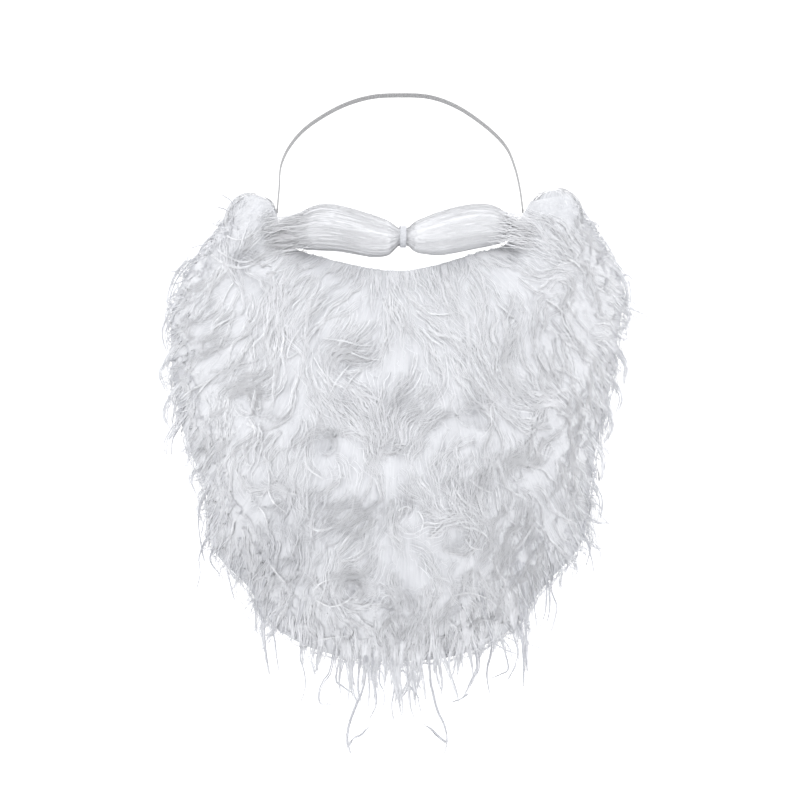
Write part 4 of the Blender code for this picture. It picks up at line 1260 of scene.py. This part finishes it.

# %% [markdown]
# ## Light strands that stand out
# Some thin bundles catch the light: arcs under the left tuft, waves on the shoulders, and the turns of
# the curls. They follow a table of short curves too, and lie on top of the rest with a tone above all
# others, a painted highlight. Painting them into the material would be lighter, but they would be flat,
# and they are what gives the front its depth.

# %% Light strands
# Width, then x and z of the points, in mm.
LIGHT_STRANDS = (
    (1.6, ((-137, -12), (-127, -19), (-117, -22), (-107, -20), (-97, -13))),
    (1.2, ((-132, -9), (-124, -14), (-113, -18), (-102, -14), (-95, -8))),
    (1.0, ((-125, 1), (-118, -2), (-110, 0), (-104, 6))),
    (1.6, ((-104, -61), (-111, -70), (-120, -76), (-123, -86))),
    (1.2, ((-102, -69), (-109, -77), (-115, -89))),
    (1.2, ((-120, -32), (-125, -40), (-129, -50))),
    (1.6, ((-132, -100), (-144, -107), (-153, -112), (-161, -120))),
    (1.2, ((-128, -96), (-140, -106), (-150, -119))),
    (1.0, ((-121, -58), (-132, -64), (-140, -73))),
    (3.2, ((-103, -109), (-105, -117), (-107, -127))),
    (1.0, ((-55, -73), (-40, -75), (-29, -78), (-19, -78))),
    (1.0, ((-39, -81), (-27, -87), (-13, -89))),
    (1.4, ((-35, -91), (-45, -103), (-52, -117))),
    (1.0, ((-27, -94), (-36, -104), (-42, -114))),
    (1.0, ((-62, -87), (-56, -97), (-50, -106))),
    (1.2, ((-73, -67), (-79, -77), (-81, -87), (-73, -83))),
    (2.2, ((120, -46), (123, -51), (127, -58))),
    (1.2, ((105, -45), (112, -49), (120, -57))),
    (3.2, ((100, -84), (104, -92), (109, -99))),
    (2.4, ((151, -85), (155, -91), (157, -99))),
    (1.2, ((141, -76), (148, -80), (154, -86))),
    (1.2, ((96, -149), (99, -158), (94, -163), (86, -166))),
    (1.2, ((70, -48), (77, -54), (84, -60))),
    (1.2, ((120, -15), (127, -19), (134, -27))),
    (1.2, ((115, -31), (122, -35), (128, -42))),
    (1.0, ((20, -55), (30, -56), (41, -54))),
    (1.4, ((-6, -208), (-4, -215), (2, -220))),
    (1.2, ((13, -197), (17, -204), (14, -214))),
    (1.0, ((-1, -197), (4, -194), (9, -196))),
    (1.4, ((45, -209), (54, -210), (62, -215), (65, -223), (59, -229))),
    (1.0, ((47, -217), (51, -223), (58, -225))),
    (1.6, ((-66, -207), (-59, -211), (-50, -209), (-40, -202))),
    (1.4, ((-44, -225), (-40, -219), (-34, -212))),
    (1.4, ((-96, -179), (-91, -191), (-81, -199))),
    (1.2, ((-102, -194), (-98, -199), (-95, -208))),
    (1.8, ((-93, -236), (-87, -244), (-81, -250))),
    (1.4, ((-68, -155), (-66, -166), (-55, -174))),
    (1.2, ((50, -174), (57, -180), (66, -184))),
    (1.2, ((40, -181), (45, -189), (53, -195))),
    (1.4, ((96, -207), (92, -214), (88, -220))),
    (1.2, ((-63, -292), (-52, -289), (-37, -287))),
    (1.2, ((-62, -254), (-55, -248), (-43, -245))),
    (1.4, ((-60, -261), (-50, -266), (-38, -262), (-30, -254))),
    (1.2, ((39, -258), (50, -256), (62, -260), (70, -266))),
    (1.2, ((71, -116), (65, -123), (66, -135), (60, -143))),
    (1.0, ((-95, -168), (-94, -176), (-96, -185))),
)
generator = np.random.default_rng(19)
paths, radii = bundles(LIGHT_STRANDS, 10, 0.3, 1.6, generator, 0.13)
# Tones above all others: a painted highlight on strands that catch the light
lay_strands("light_strands", paths, radii, generator.uniform(0.9, 1.15, len(paths)),
            soft=front_normal(paths[..., 0], paths[..., 2]), soft_share=0.75)

# %% [markdown]
# ## The rim and the fibre behind
# Seen from the side or from behind, the mass has an edge as thick as the fibre there, and its back lies
# round the cloth. The front's rows could go on round the edge, but the front map knows no back. So one
# layer of strands wraps round the edge from the front to the back, and another runs along the rays behind.

# %% Rim strands
# wrap is below 0 on the front, from 0 to 1 over the edge, and above 1 on the back
RIM_STRANDS, RIM_STEPS = 900, 7
generator = np.random.default_rng(29)
each = (RIM_STRANDS, 1)
share = np.linspace(0, 1, RIM_STEPS)[None, :]
rim_round = generator.uniform(0.01, 0.99, each) + generator.uniform(-0.02, 0.02, each) * share
rim_round = np.clip(rim_round, 0.0, 1.0)
wrap = np.clip(generator.uniform(-0.6, 0.9, each) + share * generator.uniform(0.7, 1.4, each), -0.6, 2.0)
edge = mass_point(rim_round, np.ones(rim_round.shape))
front_part = mass_point(rim_round, np.clip(1.0 + 0.2 * np.minimum(wrap, 0.0), 0.0, 1.0))
edge_front = read_map(front_depth, edge[..., 0], edge[..., 2])
edge_back = cloth_y(edge[..., 0], edge[..., 2]) - 0.5 * MM
inner = mass_point(rim_round, np.clip(1.0 - 0.2 * np.maximum(wrap - 1.0, 0.0), 0.0, 1.0))
outwards = unit((edge - mass_point(rim_round, np.full(rim_round.shape, 0.9)))[..., [0, 2]])
bulge = (1.2 + 2.5 * generator.uniform(0, 1, each) * share) * MM
over_edge = np.clip(wrap, 0.0, 1.0)
on_edge = np.sin(math.pi * over_edge) * 1.5 * MM + bulge
flat = np.where((wrap < 0.0)[..., None], front_part[..., [0, 2]],
                np.where((wrap > 1.0)[..., None], inner[..., [0, 2]], edge[..., [0, 2]]))
flat = flat + outwards * (on_edge * np.clip(1.2 - np.abs(wrap - 0.5), 0.0, 1.0))[..., None]
y = np.where(wrap < 0.0, read_map(front_depth, front_part[..., 0], front_part[..., 2]) - 0.6 * MM,
             edge_front + (edge_back - edge_front) * over_edge)
y = np.where(wrap > 1.0, cloth_y(flat[..., 0], flat[..., 1]) + 0.6 * MM, y)
paths = np.stack([flat[..., 0], y, flat[..., 1]], axis=-1)
radii = 0.26 * MM * np.interp(share, (0, 0.4, 1), (0.7, 1.0, 0.15)) * generator.uniform(0.7, 1.2, each)
lay_strands("rim_strands", paths, radii, generator.normal(0.66, 0.08, RIM_STRANDS))

# %% Back strands
BACK_STRANDS, BACK_STEPS = 1400, 6
generator = np.random.default_rng(33)
each = (BACK_STRANDS, 1)
share = np.linspace(0, 1, BACK_STEPS)[None, :]
start_round = generator.uniform(0.0, 1.0, each)
start_out = 0.44 + 0.5 * generator.uniform(0, 1, each) ** 0.8
back_round = start_round + 0.008 * np.sin(
    FULL_TURN * share * generator.uniform(0.5, 2, each) + generator.uniform(0, FULL_TURN, each))
back_out = start_out + share * generator.uniform(0.12, 0.26, each)
flat = mass_point(np.clip(back_round, 0, 1), np.minimum(back_out, 1.05))
away = (0.2 + 2.4 * np.sin(math.pi * share) * generator.uniform(0.2, 1.0, each)) * MM
paths = np.stack([flat[..., 0], cloth_y(flat[..., 0], flat[..., 2]) + away, flat[..., 2]], axis=-1)
radii = 0.34 * MM * np.interp(share, (0, 0.4, 1), (0.8, 1.0, 0.15)) * generator.uniform(0.7, 1.2, each)
lay_strands("back_strands", paths, radii, generator.normal(0.62, 0.1, BACK_STRANDS))

# %% What stands for the beard's solid
for piece in replacing:
    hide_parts("beard_hair")
print(len(replacing), "pieces stand for the fibre")

# %% [markdown]
# ## The cloth behind the fibre
# The fibre is sewn to a plain cloth that bends round the jaw. It is one sheet, 2 mm thick, cut along
# the rays, so its front and its back are the same grid of points with the thickness between them. A
# Solidify modifier could thicken it, but the lines of stitches have to dent one side alone. Nothing
# drapes here, as the cloth is stretched under the fibre, so no cloth simulation is needed.

# %% Cloth backing
CLOTH_THICKNESS = 2.0 * MM
CLOTH_OUT = 0.47
CLOTH_AROUND, CLOTH_ACROSS = 120, 26
STITCH_LINES, STITCH_DEPTH, STITCH_WIDTH = (0.03, 0.17, 0.31, 0.44), 0.25 * MM, 0.006
cloth_round = np.linspace(0.0, 1.0, CLOTH_AROUND)[:, None]
cloth_share = np.linspace(0.0, CLOTH_OUT, CLOTH_ACROSS)[None, :]
flat = mass_point(cloth_round, cloth_share)
front_y = cloth_y(flat[..., 0], flat[..., 2])
stitches = STITCH_DEPTH * sum(np.exp(-((cloth_share - line) / STITCH_WIDTH) ** 2) for line in STITCH_LINES)
front_side = np.stack([flat[..., 0], front_y + 0.1 * MM, flat[..., 2]], axis=-1)
back_side = np.stack([flat[..., 0], front_y + CLOTH_THICKNESS - stitches, flat[..., 2]], axis=-1)
cloth_rings = np.concatenate([back_side, front_side[:, ::-1]], axis=1)
sides = cloth_rings.shape[1]
quads = ring_faces(CLOTH_AROUND, sides)
step = np.arange(CLOTH_ACROSS - 1)
facing = sides - 1 - step
last = (CLOTH_AROUND - 1) * sides
ends = np.concatenate([
    np.stack([step, facing, facing - 1, step + 1], axis=1),
    np.stack([last + step, last + step + 1, last + facing - 1, last + facing], axis=1),
])
felt, tree, shader = new_material("backing_felt", 0.95, sheen=0.3)
tufting = object_noise(tree, scale=700.0, detail=4.0)
cloudy = object_noise(tree, scale=45.0, detail=2.0)
by_tuft = math_node(tree, "MULTIPLY", tufting, 0.6)
share = math_node(tree, "ADD", by_tuft, math_node(tree, "MULTIPLY", cloudy, 0.4))
tree.links.new(mixed_colour(tree, share, (0.50, 0.50, 0.51), (0.74, 0.74, 0.74)), shader.inputs["Base Color"])
add_relief(tree, shader, tufting, 0.6, 0.0004)
cloth = make_piece("backing_cloth_sheet", cloth_rings, np.concatenate([quads, ends])[:, ::-1], felt)
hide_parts("cloth_backing")
print("cloth has", len(cloth.data.polygons), "faces")

# %% [markdown]
# ## The moustache
# The moustache is one bundle of combed fibre, pinched in the middle. Its body is a loft of ovals whose
# height and depth come from a table along its length, with fine furrows along it. A bevelled curve would
# keep its ovals round, and these are taller than deep in one place and flatter in another. Fine strands
# lie on the body, gather at the pinch and fray a little at the outer ends.

# %% Moustache form
MOUSTACHE_BACK = 2.6 * MM
# x, top_z, bottom_z, depth
MOUSTACHE = np.array([
    [-87.0, 11.0, 1.0, 8.0], [-82.0, 14.0, -4.5, 14.0], [-73.0, 17.0, -8.0, 19.0],
    [-62.0, 22.5, -9.4, 23.0], [-50.0, 23.8, -9.6, 25.0], [-36.0, 20.8, -11.4, 25.0],
    [-21.0, 16.2, -14.2, 24.0], [-10.0, 12.3, -13.6, 21.0], [-4.6, 9.0, -9.8, 16.5],
    [-1.3, 6.3, -6.1, 12.4], [2.2, 6.2, -6.0, 12.2], [5.7, 6.3, -6.1, 12.4],
    [9.0, 9.2, -9.2, 16.5], [14.0, 12.4, -11.6, 21.0], [28.0, 18.0, -13.0, 24.0],
    [41.0, 21.6, -11.0, 25.0], [54.0, 23.6, -8.2, 25.0], [66.0, 23.0, -6.0, 23.0],
    [75.0, 18.6, -3.2, 19.0], [81.0, 13.8, 1.4, 13.0], [86.0, 10.0, 4.6, 7.0],
])


def moustache_point(along, turn, grow=0.0):
    """A point on the bundle: an oval at each share of its length, at a turn from its top round the front."""
    row = smooth_table(MOUSTACHE, np.asarray(along) * (len(MOUSTACHE) - 1)) * MM
    x, top, bottom, depth = row[..., 0], row[..., 1], row[..., 2], row[..., 3]
    y = cloth_y(x, np.zeros_like(x)) - MOUSTACHE_BACK - 0.5 * depth - (0.5 * depth + grow) * np.sin(turn)
    z = 0.5 * (top + bottom) + (0.5 * (top - bottom) + grow) * np.cos(turn)
    return np.stack(np.broadcast_arrays(x, y, z), axis=-1)


print("front of the pinch at y =", round(float(moustache_point(0.5, math.pi / 2)[1]) / MM, 1), "mm")

# %% Moustache body
BODY_ALONG, BODY_ROUND = 160, 56
COMB_WAVES, COMB_DEPTH = 12, 0.03
PINCH_WIDTH, PUCKER_DEPTH = 0.045, 0.45
UNDER_COMBED = 0.2 * MM
along_share = np.linspace(0, 1, BODY_ALONG)[:, None]
turn = np.linspace(0, 2 * math.pi, BODY_ROUND, endpoint=False)[None, :]
pinch = np.exp(-((along_share - 0.5) / PINCH_WIDTH) ** 2)
generator = np.random.default_rng(8)
combed = np.zeros((BODY_ALONG, BODY_ROUND))
for _ in range(COMB_WAVES):
    pitch = generator.integers(7, 30)
    wander = 2.0 * np.sin(along_share * generator.uniform(3, 9))
    combed += np.sin(pitch * turn + wander + generator.uniform(0, FULL_TURN)) * (9.0 / pitch) ** 0.5
taper = np.clip(np.minimum(along_share, 1 - along_share) / 0.06, 0.15, 1.0)
puckers = np.sin(11 * turn + 0.7) + 0.6 * np.sin(17 * turn + 2.0)
grown = (COMB_DEPTH * combed + PUCKER_DEPTH * pinch * puckers) * taper * MM - UNDER_COMBED
body = moustache_point(along_share, turn, grown)
body_points = np.concatenate([body.reshape(-1, 3), body[:1].mean(axis=1), body[-1:].mean(axis=1)])
body_faces = closed_tube_faces(BODY_ALONG, BODY_ROUND)
moustache_body = make_piece("moustache_body", body_points, body_faces, packed_moustache)
body_uv = np.stack(np.broadcast_arrays(np.minimum(turn, 2 * math.pi - turn) / math.pi, along_share), axis=-1)
put_map(moustache_body, np.concatenate([body_uv.reshape(-1, 2), [[0.5, 0.0], [0.5, 1.0]]]))
put_attribute(moustache_body, "tone_and_painted_light", np.full(len(body_points), 0.7))
print("moustache body has", len(moustache_body.data.polygons), "faces")

# %% Moustache strands
COMBED_STRANDS, COMBED_STEPS = 1500, 7
start = generator.uniform(0.0, 0.42, COMBED_STRANDS)
reach = generator.uniform(0.10, 0.30, COMBED_STRANDS)
right = generator.uniform(0, 1, COMBED_STRANDS) < 0.5
share = np.linspace(0, 1, COMBED_STEPS)[None, :]
from_middle = np.minimum(start[:, None] + reach[:, None] * share, 0.50)
along_place = 0.5 + np.where(right[:, None], 1.0, -1.0) * from_middle
turn_place = generator.uniform(0, FULL_TURN, COMBED_STRANDS)[:, None] \
    + generator.normal(0, 0.10, COMBED_STRANDS)[:, None] * share \
    + 0.05 * np.sin(FULL_TURN * share * generator.uniform(0.5, 1.5, COMBED_STRANDS)[:, None])
lift = (0.05 + 0.3 * np.sin(math.pi * share) * generator.uniform(0, 1, COMBED_STRANDS)[:, None] ** 2) * MM
paths = moustache_point(along_place, turn_place, lift)
profile = 0.13 * MM * np.interp(share, (0, 0.4, 1), (0.5, 1.0, 0.15))
radii = profile * generator.uniform(0.7, 1.2, COMBED_STRANDS)[:, None]
soft = unit(paths - moustache_point(along_place, turn_place, -6.0 * MM))
moustache_strands = strand_tubes("moustache_strands", paths, radii, generator.normal(0.6, 0.1, COMBED_STRANDS),
                                 moustache_fibre, soft, 0.88)
print("combed strands:", COMBED_STRANDS)

# %% Loose fibre at the moustache's ends
# It carries each outer end over to the side hair: straight lines between the two, bent by two slow waves
END_STRANDS = 520
share = np.linspace(0, 1, COMBED_STEPS)[None, :, None]
to_right = generator.uniform(0, 1, END_STRANDS) < 0.5
way = np.where(to_right, 1.0, -1.0)
end_along = np.where(to_right, 1.0, 0.0) - way * generator.uniform(0.02, 0.17, END_STRANDS)
leaving = moustache_point(end_along, generator.uniform(0.2, 2.8, END_STRANDS), -0.6 * MM)
arriving_x = way * generator.uniform(88.0, 100.0, END_STRANDS) * MM
arriving_z = 0.75 * leaving[:, 2] + generator.uniform(-9.0, 3.0, END_STRANDS) * MM
arriving = np.stack([arriving_x, read_map(front_depth, arriving_x, arriving_z) - 2.0 * MM, arriving_z], axis=-1)
bow = np.sin(math.pi * share) * generator.normal(0.0, 1.6 * MM, (END_STRANDS, 1, 3)) \
    + np.sin(FULL_TURN * share) * generator.normal(0.0, 0.8 * MM, (END_STRANDS, 1, 3))
paths = leaving[:, None] * (1 - share) + arriving[:, None] * share + bow
profile = 0.15 * MM * np.interp(share[..., 0], (0, 0.5, 1), (0.8, 1.0, 0.3))
radii = profile * generator.uniform(0.7, 1.2, (END_STRANDS, 1))
soft = np.broadcast_to(unit(np.array([0.0, -1.0, 0.35])), paths.shape)
# Their tone is lighter than the combed strands': painted light that lifts the shade where the moustache meets
# the tuft
moustache_ends = strand_tubes("moustache_ends", paths, radii, generator.normal(0.8, 0.1, END_STRANDS),
                              moustache_fibre, soft, 0.85)
for piece in (moustache_body, moustache_strands, moustache_ends):
    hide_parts("moustache")
print("strands at the moustache's ends:", END_STRANDS)

# %% [markdown]
# ## The tie
# A thread wound a few times round the pinch holds the bundle. It could be a stack of rings, but a real
# thread is one piece. So it is a coil: a circle that moves along the moustache as it turns, with a thin
# round thread carried along it.

# %% Tie
TIE_MIDDLE = np.array([2.2, -8.8, 0.1]) * MM
TIE_RADIUS = 7.3 * MM
THREAD_RADIUS = 0.62 * MM
TIE_TURNS = 5
TIE_HALF_WIDTH = 2.1
POINTS_PER_TURN, THREAD_SIDES = 44, 10
angle = np.linspace(0, 2 * math.pi * TIE_TURNS, POINTS_PER_TURN * TIE_TURNS)
coil_x = TIE_MIDDLE[0] + np.linspace(-TIE_HALF_WIDTH, TIE_HALF_WIDTH, len(angle)) * MM
coil_y, coil_z = TIE_MIDDLE[1] + TIE_RADIUS * np.sin(angle), TIE_MIDDLE[2] + TIE_RADIUS * np.cos(angle)
coil = np.stack([coil_x, coil_y, coil_z], axis=1)
axis = np.stack([coil_x, np.full_like(coil_x, TIE_MIDDLE[1]), np.full_like(coil_x, TIE_MIDDLE[2])], axis=1)
direction = unit(np.gradient(coil, axis=0))
radial = unit(coil - axis)
other = np.cross(direction, radial)
turn = np.linspace(0, 2 * math.pi, THREAD_SIDES, endpoint=False)[:, None]
thread = coil[:, None] + THREAD_RADIUS * (np.cos(turn) * radial[:, None] + np.sin(turn) * other[:, None])
thread_points = np.concatenate([thread.reshape(-1, 3), coil[:1], coil[-1:]])
tie_thread, tree, shader = new_material("tie_thread", 0.75, sheen=0.2)
plies = object_noise(tree, scale=1200.0, detail=2.0)
tree.links.new(mixed_colour(tree, plies, (0.40, 0.41, 0.44), (0.66, 0.67, 0.70)), shader.inputs["Base Color"])
tie = make_piece("wound_thread", thread_points, closed_tube_faces(len(coil), THREAD_SIDES), tie_thread)
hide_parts("moustache_tie")
print("the tie is wound", TIE_TURNS, "times from", len(coil), "points")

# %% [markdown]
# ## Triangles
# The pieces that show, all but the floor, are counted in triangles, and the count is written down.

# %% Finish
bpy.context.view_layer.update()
triangles = 0
for piece in bpy.data.objects:
    if piece.type == "MESH" and not piece.hide_render and piece != floor:
        piece.data.calc_loop_triangles()
        triangles += len(piece.data.loop_triangles)
print("the pieces that show have", triangles, "triangles")
